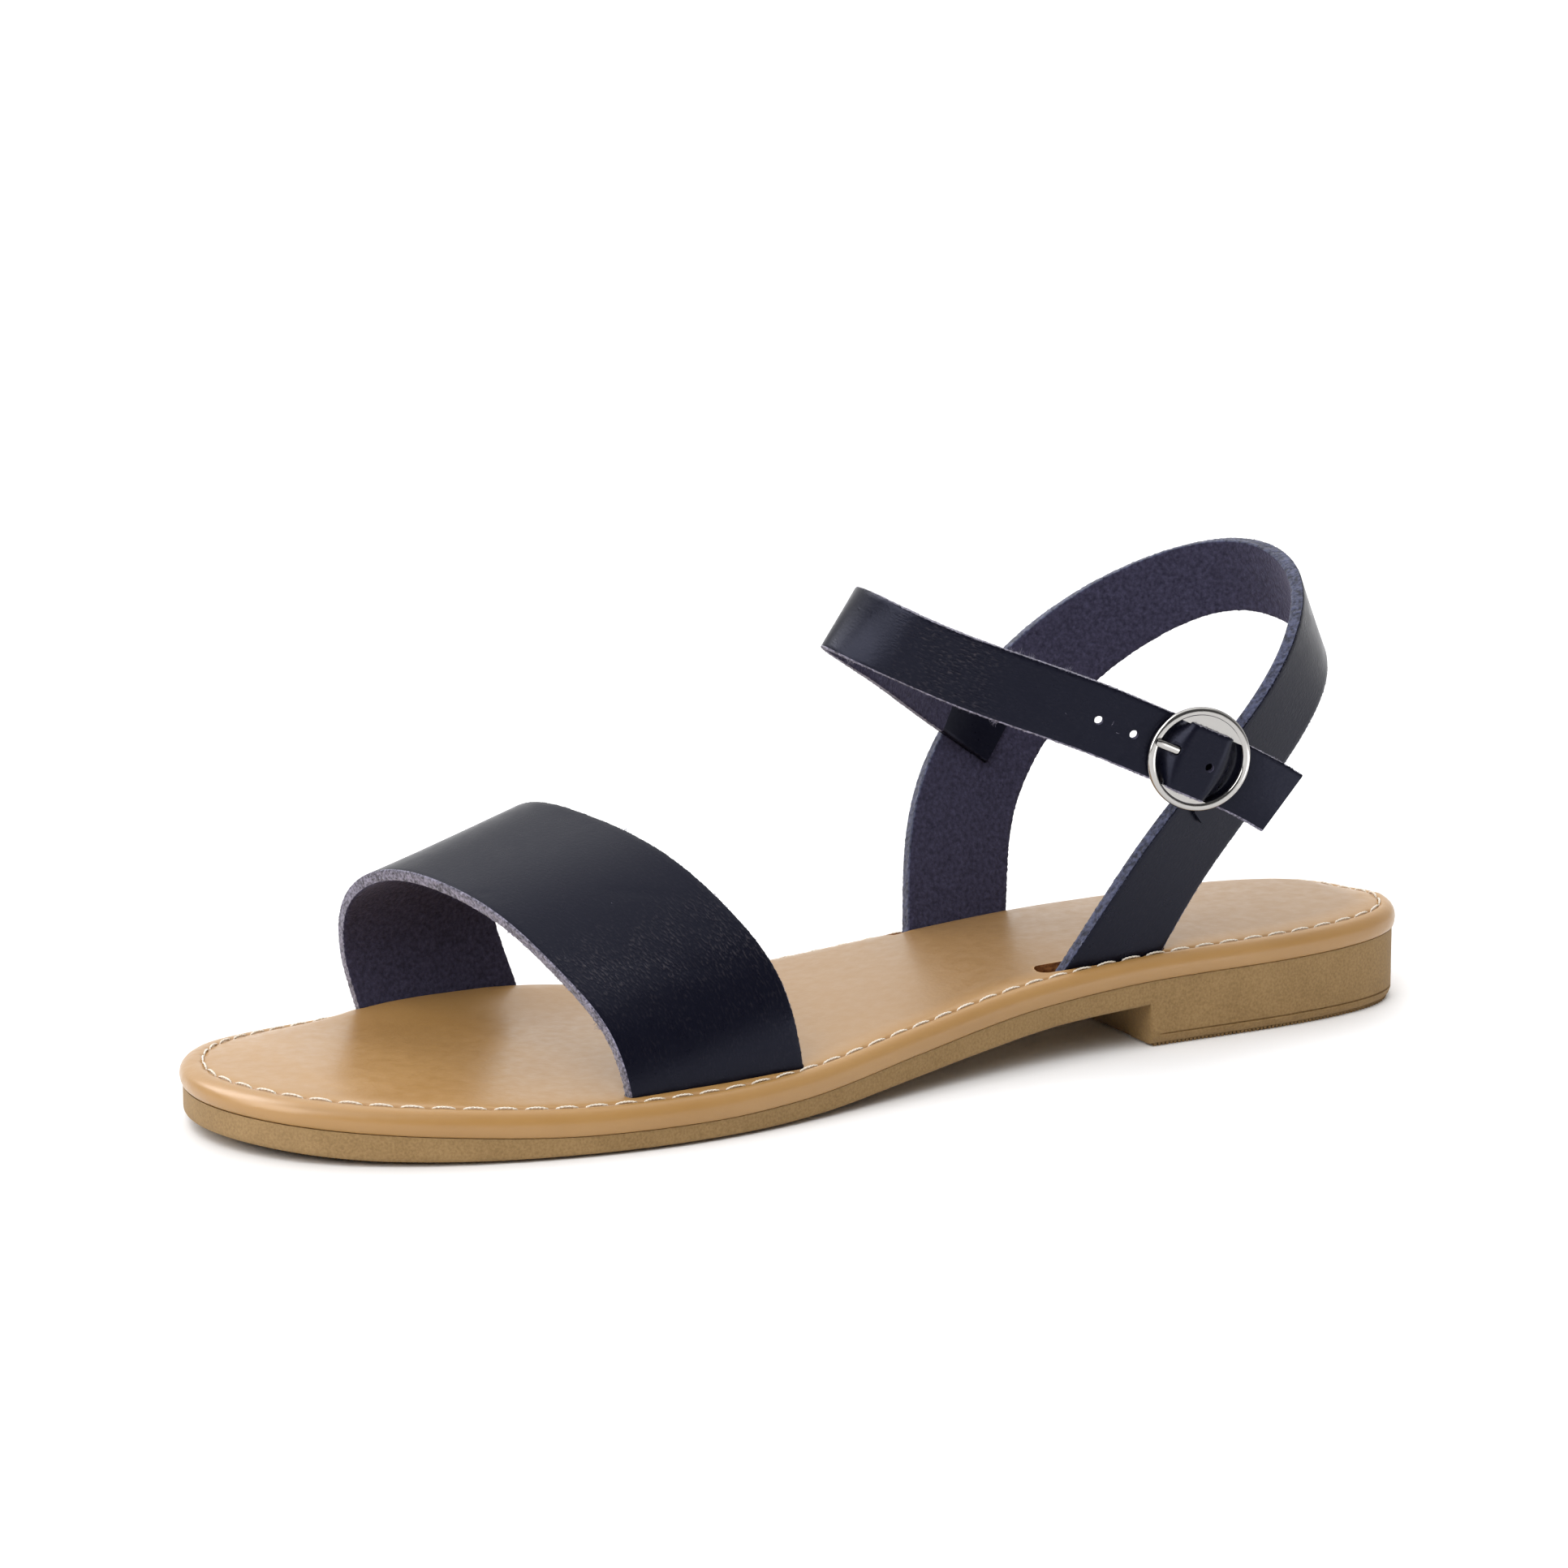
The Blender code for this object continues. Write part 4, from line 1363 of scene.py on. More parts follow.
@dataclass
class Strap:
    """A leather strap swept as a rounded wall with grain, flesh and cut faces."""

    finishes: Finishes
    last: Last
    name: str
    outer: float
    thickness: float
    columns: int = 18
    grain_round: float = 0.32
    flesh_round: float = 0.18
    cut_points: int = 3
    fray: float = 0.05
    # turns in degrees of the points round the grain side's corners
    corner_turns: Pair = (35.0, 65.0)
    # depth of the faces that the fraying leaves alone
    skin: float = 0.01
    end_height: float | None = None
    fibres_per_mm: float = 8.0
    fibre_length: float = 0.36
    fibre_lengths: Pair = (0.3, 1.3)
    fibre_radius: float = 0.045
    fibre_root: float = 0.1
    # pull out of the edge, and scatter, of a fibre's direction
    fibre_pull: float = 1.3
    fibre_scatter: float = 0.6
    # height over the strap's ends from which fibres grow
    fibre_clear: float = 3.6
    tuft_size: int = 12
    tuft_spread: float = 0.35
    tuft_lengths: Pair = (0.7, 1.5)
    creases: tuple[Crease, ...] = ()
    # middle along, half run, strength of the stretches where the grain is opened by flexing and its streaks
    # get a painted highlight
    flexed_and_highlighted: Rows = ()
    least_flex_and_highlight: float = 0.12
    # distance along and side of tufts of longer fibres
    tufts: tuple[tuple[float, int], ...] = ()
    scuffs: tuple[Scuff, ...] = ()
    # length of the end that is black grain all round, without loose fibres
    black_end: float = 0.0

    def section(self) -> tuple[Array, Array, Array, Array]:
        """Loop round the strap.

        Returns:
            Share of the half width, shift past it, offset off the face, and kind of the face that follows.
        """
        inner = self.outer - self.thickness
        across = np.linspace(-1.0, 1.0, self.columns + 1)
        points = [(f, -self.grain_round * f, self.outer, Face.GRAIN) for f in across]
        side = self.edge_side(inner)
        kinds = [Face.GRAIN] + [Face.CUT] * (len(side) - 1)
        points += [(1.0, shift, offset, kind) for (shift, offset), kind in zip(side, kinds)]
        points += [(f, -self.flesh_round * f, inner, Face.FLESH) for f in across[::-1]]
        points += [(-1.0, -shift, offset, Face.CUT) for shift, offset in side[::-1]]
        share, shift, offset, kind = (np.array(column) for column in zip(*points))
        return share, shift, offset, kind

    def edge_side(self, inner: float) -> list[tuple[float, float]]:
        """Points down one cut edge.

        Args:
            inner: Offset of the flesh side.

        Returns:
            Shift and offset of each point, grain side first.
        """
        bend = self.grain_round
        turns = np.radians(self.corner_turns)
        side = [(bend * (math.sin(t) - 1.0), self.outer + bend * (math.cos(t) - 1.0)) for t in turns]
        top = self.outer - bend
        bottom = inner + self.flesh_round
        side += [(0.0, top + (bottom - top) * k / (self.cut_points + 1)) for k in range(self.cut_points + 2)]
        return side

    def face(self, share: Array) -> tuple[Array, Array, Array]:
        """The strap's face.

        Args:
            share: Shares of the half width, from -1 to 1.

        Returns:
            Places, across directions and outward normals, by row and share.
        """
        raise NotImplementedError

    def half_widths(self) -> Array:
        """Half width of each row in millimetres."""
        raise NotImplementedError

    def build(self, *nodes: str) -> Piece:
        """Make the wall and its loose fibres.

        Args:
            nodes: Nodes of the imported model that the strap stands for.

        Returns:
            The strap's object.
        """
        draw = np.random.default_rng(SEED)
        share, shift, offset, kind = self.section()
        spot, across, normal = self.face(share)
        centre, _, _ = self.face(np.zeros(1))
        steps = np.linalg.norm(np.diff(centre[:, 0], axis=0), axis=1) / MM
        along = np.concatenate([[0.0], np.cumsum(steps)])[:, None]
        over = self.half_widths()[:, None] * share + shift
        dip = sum((crease.dip(along, over) for crease in self.creases), np.zeros(over.shape))
        edge = np.abs(share) == 1.0
        bottom = self.outer - self.thickness + self.skin
        cut = edge & (offset < self.outer - self.skin) & (offset > bottom)
        frayed = draw.normal(0.0, self.fray, over.shape) * cut
        verts = spot + across * (shift + np.sign(share) * frayed)[..., None] * MM
        verts = verts + normal * (offset - dip)[..., None] * MM
        rows, size = over.shape
        kinds = np.tile(kind, (rows - 1, 1))
        # the end's rows take the black grain finish on every face
        black_rows = along[1:] < self.black_end
        kinds = np.where(black_rows, Face.GRAIN, kinds).ravel()
        made = mesh_object(
            self.name,
            verts.reshape(-1, 3),
            tube_faces(rows, size),
            self.surfaces(),
            np.concatenate([kinds, [Face.CUT, Face.CUT]]),
            sharp=LEATHER_SHARP,
        )
        store(made, "along", np.broadcast_to(along * MM, over.shape))
        store(made, "across", over * MM)
        store(made, "flex_and_highlight", np.broadcast_to(self.flex_and_highlight(along), over.shape))
        if self.end_height is not None:
            trim_below(made, self.end_height)
            smooth(made.data, LEATHER_SHARP)
        outward = across[:, cut] * np.sign(share[cut])[:, None]
        self.fibres(draw, along[:, 0], verts[:, cut], outward, normal[:, cut])
        return settle(made, Slot.BLACK, *nodes)

    def flex_and_highlight(self, along: Array) -> Array:
        """How far the grain is opened, which is also how strong its painted highlight is.

        Args:
            along: Distances along the strap.

        Returns:
            One value for each distance.
        """
        value = np.full(along.shape, self.least_flex_and_highlight)
        for middle, half, strength in self.flexed_and_highlighted:
            value = np.maximum(value, strength * np.exp(-(((along - middle) / half) ** 2)))
        return value

    def fibres(
        self, draw: np.random.Generator, along: Array, spots: Array, outward: Array, normal: Array
    ) -> None:
        """Loose fibres along both cut edges, joined in one mesh.

        Args:
            draw: Source of the fibres' places and directions.
            along: Distance along the strap of each row.
            spots: Places on the cut edges, by row and column.
            outward: Direction out of the edge at each place.
            normal: Direction out of the grain side at each place.
        """
        rows, columns = spots.shape[:2]
        count = int(2 * along[-1] * self.fibres_per_mm)
        i = draw.integers(0, rows - 1, count)
        j = draw.integers(0, columns, count)
        length = self.fibre_length * draw.uniform(*self.fibre_lengths, count)
        half = columns // 2
        for place, side in self.tufts:
            near = np.searchsorted(along, draw.normal(place, self.tuft_spread, self.tuft_size))
            i = np.concatenate([i, near.clip(0, rows - 2)])
            j = np.concatenate([j, draw.integers(0, half, self.tuft_size) + (0 if side > 0 else half)])
            length = np.concatenate([length, draw.uniform(*self.tuft_lengths, self.tuft_size)])
        low = -math.inf if self.end_height is None else self.end_height + self.fibre_clear
        clear = (spots[i, j, 2] > low * MM) & (along[i] > self.black_end)
        i, j, length = i[clear], j[clear], length[clear]
        share = draw.random((len(i), 1))
        root = spots[i, j] * (1.0 - share) + spots[i + 1, j] * share
        lie = unit(outward[i, j] * self.fibre_pull + draw.normal(0.0, self.fibre_scatter, root.shape))
        tilt = normal[i, j]
        for scuff in self.scuffs:
            place, run, up = self.scuff_row(along, scuff)
            root = np.concatenate([root, [place]])
            lie = np.concatenate([lie, [run]])
            tilt = np.concatenate([tilt, [up]])
            length = np.concatenate([length, [scuff.length]])
        self.slivers(root, lie, length, tilt)

    def scuff_row(self, along: Array, scuff: Scuff) -> tuple[Array, Array, Array]:
        """Place, direction and face normal of one scuff.

        Args:
            along: Distance along the strap of each row.
            scuff: The scuff.

        Returns:
            Three vectors, the place in metres.
        """
        row = int(np.searchsorted(along, scuff.along))
        spot, across, normal = self.face(np.array([scuff.across / self.half_widths()[row]]))
        run = np.cross(across[row, 0], normal[row, 0])
        turn = math.radians(scuff.turn)
        place = spot[row, 0] + normal[row, 0] * self.outer * MM
        return place, run * math.cos(turn) + across[row, 0] * math.sin(turn), normal[row, 0]

    def slivers(self, root: Array, lie: Array, length: Array, tilt: Array) -> None:
        """Thin pointed slivers in one mesh.

        Args:
            root: Where each one starts.
            lie: Its direction.
            length: Its length in millimetres.
            tilt: A direction that is not along it.
        """
        # a little off the tilt, so that it is never quite along a sliver
        side = unit(np.cross(lie, tilt + 0.01))
        other = np.cross(lie, side)
        base = root - lie * self.fibre_root * MM
        tip = root + lie * length[:, None] * MM
        radius = self.fibre_radius * MM
        turns = np.radians((0.0, 120.0, 240.0))
        corners = [base + (side * math.cos(t) + other * math.sin(t)) * radius for t in turns]
        verts = np.stack([*corners, tip], axis=1).reshape(-1, 3)
        first = np.arange(len(root))[:, None] * 4
        corners = ((0, 1, 3), (1, 2, 3), (2, 0, 3), (0, 2, 1))
        faces = np.concatenate([first + np.array(three) for three in corners])
        made = mesh_object(self.name + "_fibres", verts, faces.tolist(), [self.edge_finish()])
        settle(made, Slot.BLACK)

    def edge_finish(self) -> Material:
        """Finish of the cut edges and their fibres."""
        return self.finishes.cut

    def surfaces(self) -> list[Material]:
        """Materials in the order of the kinds of surface."""
        return [self.finishes.grain, self.finishes.flesh, self.edge_finish()]


@dataclass
class ToeStrap(Strap):
    """Broad strap over the ball of the foot, a ruled wall between its front and back edges."""

    name: str = "toe_strap_leather"
    outer: float = 0.0
    thickness: float = 2.3
    columns: int = 30
    steps: int = 420
    end_height: float | None = 5.9
    slot_x: Pair = (-38.5, 38.0)
    slot_height: float = 9.9
    front_stations: Pair = (203.0, 184.3)
    back_stations: Pair = (169.5, 147.2)
    front_lean: float = -8.6
    back_lean: float = -9.9
    # x and height of the front edge, x and height of the back edge, inner slot to outer slot
    table: Rows = (
        (-38.1, 4.6, -38.2, 4.4),
        (-38.4, 8.1, -38.5, 7.9),
        (-40.7, 19.5, -42.0, 23.7),
        (-37.6, 31.7, -38.0, 39.5),
        (-25.1, 40.2, -27.6, 49.1),
        (-8.1, 41.6, -9.6, 50.4),
        (10.1, 37.7, 10.4, 46.2),
        (25.3, 29.6, 24.5, 38.4),
        (35.7, 21.0, 34.9, 27.5),
        (39.3, 7.8, 37.7, 9.8),
        (39.2, 4.6, 37.5, 4.4),
    )
    flexed_and_highlighted: Rows = ((107.0, 10.0, 1.0), (120.0, 11.0, 0.3))
    tufts: tuple[tuple[float, int], ...] = (
        (75.0, 1),
        (98.0, 1),
        (88.0, -1),
        (94.5, -1),
        (104.0, -1),
        (117.0, -1),
        (118.5, -1),
    )
    scuffs: tuple[Scuff, ...] = (
        Scuff(92.4, 0.8, 0.25, 20.0),
        Scuff(101.0, -14.9, 0.25, 70.0),
        Scuff(108.7, -9.8, 0.30, 40.0),
    )
    creases: tuple[Crease, ...] = (
        Crease(77.0, -14.6, 7.0, 0.6, 0.07, 62.0),
        Crease(80.5, -14.0, 6.0, 0.5, 0.05, 62.0),
        Crease(92.0, 6.0, 16.0, 1.2, 0.05, 40.0),
        Crease(107.0, -4.0, 24.0, 1.6, 0.06, 12.0),
        Crease(112.0, 4.0, 22.0, 1.5, 0.06, 10.0),
        Crease(118.0, -3.0, 24.0, 1.8, 0.06, 8.0),
    )

    def edge_line(self, column: int, stations: tuple[float, float], lean: float) -> Array:
        """One edge of the strap.

        Args:
            column: First of the edge's two columns in the table.
            stations: Stations of the edge at the inner and the outer slot.
            lean: How far the edge leans to the heel as it rises, in degrees.

        Returns:
            Places in metres.
        """
        rows = [row[column:column + 2] for row in self.table]
        x, height = Curve.through(rows, 2).evenly(self.steps).T
        share = (x - self.slot_x[0]) / (self.slot_x[1] - self.slot_x[0])
        start, end = stations
        station = start + share * (end - start) - (height - self.slot_height) * math.tan(math.radians(lean))
        return self.last.place(x, station, height)

    def edges(self) -> tuple[Array, Array]:
        """Both edges of the strap.

        Returns:
            Places of the front and of the back edge, in metres.
        """
        front = self.edge_line(0, self.front_stations, self.front_lean)
        back = self.edge_line(2, self.back_stations, self.back_lean)
        return front, back

    def half_widths(self) -> Array:
        """Half width of each row in millimetres."""
        front, back = self.edges()
        return np.linalg.norm(back - front, axis=1) / 2 / MM

    def face(self, share: Array) -> tuple[Array, Array, Array]:
        """The strap's face.

        Args:
            share: Shares of the half width, from -1 to 1.

        Returns:
            Places, across directions and outward normals, by row and share.
        """
        front, back = self.edges()
        part = ((share + 1.0) / 2)[None, :, None]
        spot = front[:, None] * (1.0 - part) + back[:, None] * part
        across = np.broadcast_to(unit(back - front)[:, None], spot.shape)
        normal = unit(np.cross(np.gradient(spot, axis=0), across))
        return spot, across, normal * np.sign(normal[self.steps // 2, 0, 2])


@dataclass
class BandStrap(Strap):
    """A strap swept along a table of x, station, height, lean and width."""

    table: Rows = ()
    steps: int = 360
    loop_centre: Pair = (0.0, 60.0)

    def frame_rows(self) -> tuple[Array, Array, Array, Array]:
        """The rows that the strap is swept along.

        Returns:
            Places, across directions, outward normals and half widths.
        """
        rows = Curve.through(self.table, 3).evenly(self.steps)
        place = self.last.place(*rows[:, :3].T)
        outward = place - self.last.place(*np.array([*self.loop_centre, 0.0]))
        outward[:, 2] = 0.0
        along = unit(np.gradient(place, axis=0))
        level = unit(outward - np.sum(outward * along, axis=1)[:, None] * along)
        across = np.cross(along, level)
        across *= np.sign(np.mean(across[:, 2]))
        lean = np.radians(rows[:, 3])[:, None]
        tilted = np.cos(lean) * across - np.sin(lean) * level
        normal = np.cos(lean) * level + np.sin(lean) * across
        return place, tilted, normal, rows[:, 4] / 2

    def half_widths(self) -> Array:
        """Half width of each row in millimetres."""
        return self.frame_rows()[3]

    def shaped(self, spot: Array) -> Array:
        """The face after any local change of its shape."""
        return spot

    def face(self, share: Array) -> tuple[Array, Array, Array]:
        """The strap's face.

        Args:
            share: Shares of the half width, from -1 to 1.

        Returns:
            Places, across directions and outward normals, by row and share.
        """
        place, across, normal, half = self.frame_rows()
        reach = half[:, None] * share * MM
        across = np.broadcast_to(across[:, None], (len(place), len(share), 3))
        spot = self.shaped(place[:, None] + across * reach[..., None])
        turned = unit(np.cross(np.gradient(spot, axis=0), across))
        return spot, across, turned * np.sign(np.sum(turned * normal[:, None], axis=2, keepdims=True))


@dataclass
class HeelStrap(BandStrap):
    """Strap from the inner slot, up round the back of the heel, to the outer slot."""

    name: str = "heel_strap_leather"
    outer: float = 0.3
    thickness: float = 2.6
    table: Rows = (
        (-20.2, 83.7, 6.7, -43.0, 22.6),
        (-23.0, 81.0, 17.2, -41.3, 22.6),
        (-28.5, 76.0, 36.7, -33.3, 21.6),
        (-32.3, 63.0, 54.9, -13.9, 19.2),
        (-27.9, 39.7, 73.4, 2.6, 15.9),
        (-13.8, 20.4, 81.9, 7.1, 14.3),
        (4.5, 17.8, 79.9, 21.2, 15.2),
        (20.6, 26.7, 70.5, 21.4, 16.6),
        (25.9, 44.3, 52.3, 4.5, 17.7),
        (26.7, 59.3, 37.2, -13.7, 18.5),
        (24.5, 71.9, 18.3, -28.4, 18.4),
        (22.9, 79.2, 6.8, -32.0, 18.4),
    )
    flexed_and_highlighted: Rows = ((150.0, 25.0, 0.3),)
    steps: int = 640
    end_height: float | None = 14.3

    def edge_finish(self) -> Material:
        """Finish of the cut edges and their fibres."""
        return self.finishes.blue_cut


@dataclass
class Buckle:
    """Round ring buckle with a centre bar and a prong."""

    last: Last
    finishes: Finishes
    centre: Place = (33.1, 59.4, 57.7)
    facing: float = 72.7
    slope: float = 25.0
    ring_radius: float = 9.25
    wire: float = 0.85
    squareness: float = 2.5
    ring_steps: int = 160
    wire_sides: int = 28
    bar_radius: float = 0.6
    bar_drop: float = 1.1
    bar_steps: int = 24
    bar_rows: int = 5
    prong_half_width: float = 0.8
    prong_half_depth: float = 0.5
    prong_eye: float = 1.35
    prong_reach: float = 9.6
    # distance of the opening's flat sides from the middle, upper and lower
    flats: Pair = (5.7, 7.15)
    flat_depths: Pair = (-0.35, 0.65)
    flat_steps: int = 24
    # share of the wire by which the flats stay inside its middle
    flat_lap: float = 0.2
    weld: float = 0.002
    prong_gap: float = 0.3
    eye_turns: Pair = (-190.0, 96.0)
    eye_steps: int = 36
    prong_steps: int = 20
    prong_sides: int = 20
    prong_squareness: float = 3.0
    # shares of the full section over the prong's last rows
    prong_tip: tuple[float, ...] = (1.0, 0.96, 0.86, 0.62)

    def axes(self) -> tuple[Array, Array, Array]:
        """Directions of the buckle.

        Returns:
            Along the strap towards its tip, along the bar upwards, and out of the ring.
        """
        facing, slope = math.radians(self.facing), math.radians(self.slope)
        out = np.array([math.sin(facing), -math.cos(facing), 0.0])
        level = np.array([math.cos(facing), math.sin(facing), 0.0])
        up = np.array(UP)
        along = level * math.cos(slope) - up * math.sin(slope)
        bar = level * math.sin(slope) + up * math.cos(slope)
        return along, bar, out

    def place(self, along: Array, bar: Array, out: Array) -> Array:
        """Metres for places in the buckle's own axes.

        Args:
            along: Distances along the strap.
            bar: Distances up the bar.
            out: Distances out of the ring.

        Returns:
            One place for each.
        """
        middle = self.last.place(*np.array(self.centre))
        parts = zip((along, bar, out), self.axes())
        return middle + sum(np.asarray(value, float)[..., None] * axis for value, axis in parts) * MM

    @staticmethod
    def rounded(count: int, power: float) -> tuple[Array, Array]:
        """Points round a section between a circle and a square, of half size one.

        Args:
            count: How many points.
            power: Two for a circle, more for a squarer form.

        Returns:
            Distances across and distances up.
        """
        turn = np.arange(count) * FULL_TURN / count
        c, s = np.cos(turn), np.sin(turn)
        return np.sign(c) * np.abs(c) ** (2.0 / power), np.sign(s) * np.abs(s) ** (2.0 / power)

    def build(self) -> None:
        """Make the ring with its bar, and the prong."""
        ring = self.ring()
        settle(ring, Slot.METAL, "buckle_frame")
        prong = self.prong("buckle_pin", 0.0)
        settle(prong, Slot.METAL, "buckle_prong")

    def ring(self) -> Piece:
        """Flat faced ring and round bar in one mesh.

        Returns:
            The object.
        """
        across, depth = self.rounded(self.wire_sides, self.squareness)
        turn = np.arange(self.ring_steps + 1) * FULL_TURN / self.ring_steps
        radius = self.ring_radius + self.wire * across
        along = np.cos(turn)[:, None] * radius
        bar = np.sin(turn)[:, None] * radius
        out = np.broadcast_to(self.wire * depth, along.shape)
        verts = self.place(along, bar, out).reshape(-1, 3)
        faces = grid_faces(self.ring_steps + 1, self.wire_sides, True)
        rod_across, rod_depth = self.rounded(self.bar_steps, 2.0)
        height = np.linspace(-self.ring_radius, self.ring_radius, self.bar_rows)[:, None] + 0.0 * rod_across
        rod_along = self.bar_radius * rod_across + 0.0 * height
        rod_out = self.bar_radius * rod_depth - self.bar_drop + 0.0 * height
        rod = self.place(rod_along, height, rod_out).reshape(-1, 3)
        rod_faces = grid_faces(self.bar_rows, self.bar_steps, True) + len(verts)
        every = faces.tolist() + rod_faces.tolist()
        verts = np.concatenate([verts, rod])
        for side, flat in zip((1.0, -1.0), self.flats):
            plate, plate_faces = self.flat_plate(side, flat)
            every += (plate_faces + len(verts)).tolist()
            verts = np.concatenate([verts, plate])
        made = mesh_object("buckle_ring", verts, every, [self.finishes.metal])
        return self.welded(made)

    def flat_plate(self, side: float, flat: float) -> tuple[Array, Array]:
        """Plate that makes one flat side of the ring's opening.

        Args:
            side: Which end of the bar, plus or minus one.
            flat: Distance of the flat side from the ring's middle.

        Returns:
            Places in metres, and faces.
        """
        reach = self.ring_radius - self.flat_lap * self.wire
        wide = math.sqrt(reach**2 - flat**2)
        along = np.linspace(-wide, wide, self.flat_steps + 1)[:, None]
        arc = np.sqrt(np.maximum(reach**2 - along**2, flat**2)) * side
        chord = np.full_like(arc, flat * side)
        bar = np.concatenate([chord, arc, arc, chord], axis=1)
        out = np.repeat(self.flat_depths[::-1], 2) + 0.0 * bar
        plate = self.place(along + 0.0 * bar, bar, out)
        return plate.reshape(-1, 3), grid_faces(*plate.shape[:2], True)

    def welded(self, made: Piece) -> Piece:
        """Join the points that coincide.

        Args:
            made: The object.

        Returns:
            The same object.
        """
        with edited(made.data) as tidy:
            bmesh.ops.remove_doubles(tidy, verts=tidy.verts, dist=self.weld * MM)
            bmesh.ops.recalc_face_normals(tidy, faces=tidy.faces)
        smooth(made.data)
        return made

    def prong(self, name: str, grow: float) -> Piece:
        """The prong, or its shape grown to cut its way through the strap.

        Args:
            name: The object's name.
            grow: Distance added all round.

        Returns:
            The object.
        """
        turns = np.radians(np.linspace(*self.eye_turns, self.eye_steps))
        eye_out = self.prong_eye * np.sin(turns) - self.bar_drop
        eye = np.stack([self.prong_eye * np.cos(turns), eye_out], axis=1)
        rest = self.wire + self.prong_gap + self.prong_half_depth
        share = np.linspace(0.0, 1.0, self.prong_steps + 1)[1:, None]
        tip = np.array([[-self.prong_reach, rest]])
        path = np.concatenate([eye, eye[-1:] * (1.0 - share) + tip * share])
        tangent = unit(np.gradient(path, axis=0))
        side = np.stack([-tangent[:, 1], tangent[:, 0]], axis=1)
        wide, deep = self.rounded(self.prong_sides, self.prong_squareness)
        taper = np.ones(len(path))
        taper[-len(self.prong_tip):] = self.prong_tip
        half_depth = (self.prong_half_depth * taper + grow)[:, None] * deep
        along = path[:, :1] + side[:, :1] * half_depth
        out = path[:, 1:] + side[:, 1:] * half_depth
        bar = (self.prong_half_width * taper + grow)[:, None] * wide
        verts = self.place(along, bar, out).reshape(-1, 3)
        return mesh_object(name, verts, tube_faces(len(path), self.prong_sides), [self.finishes.metal])


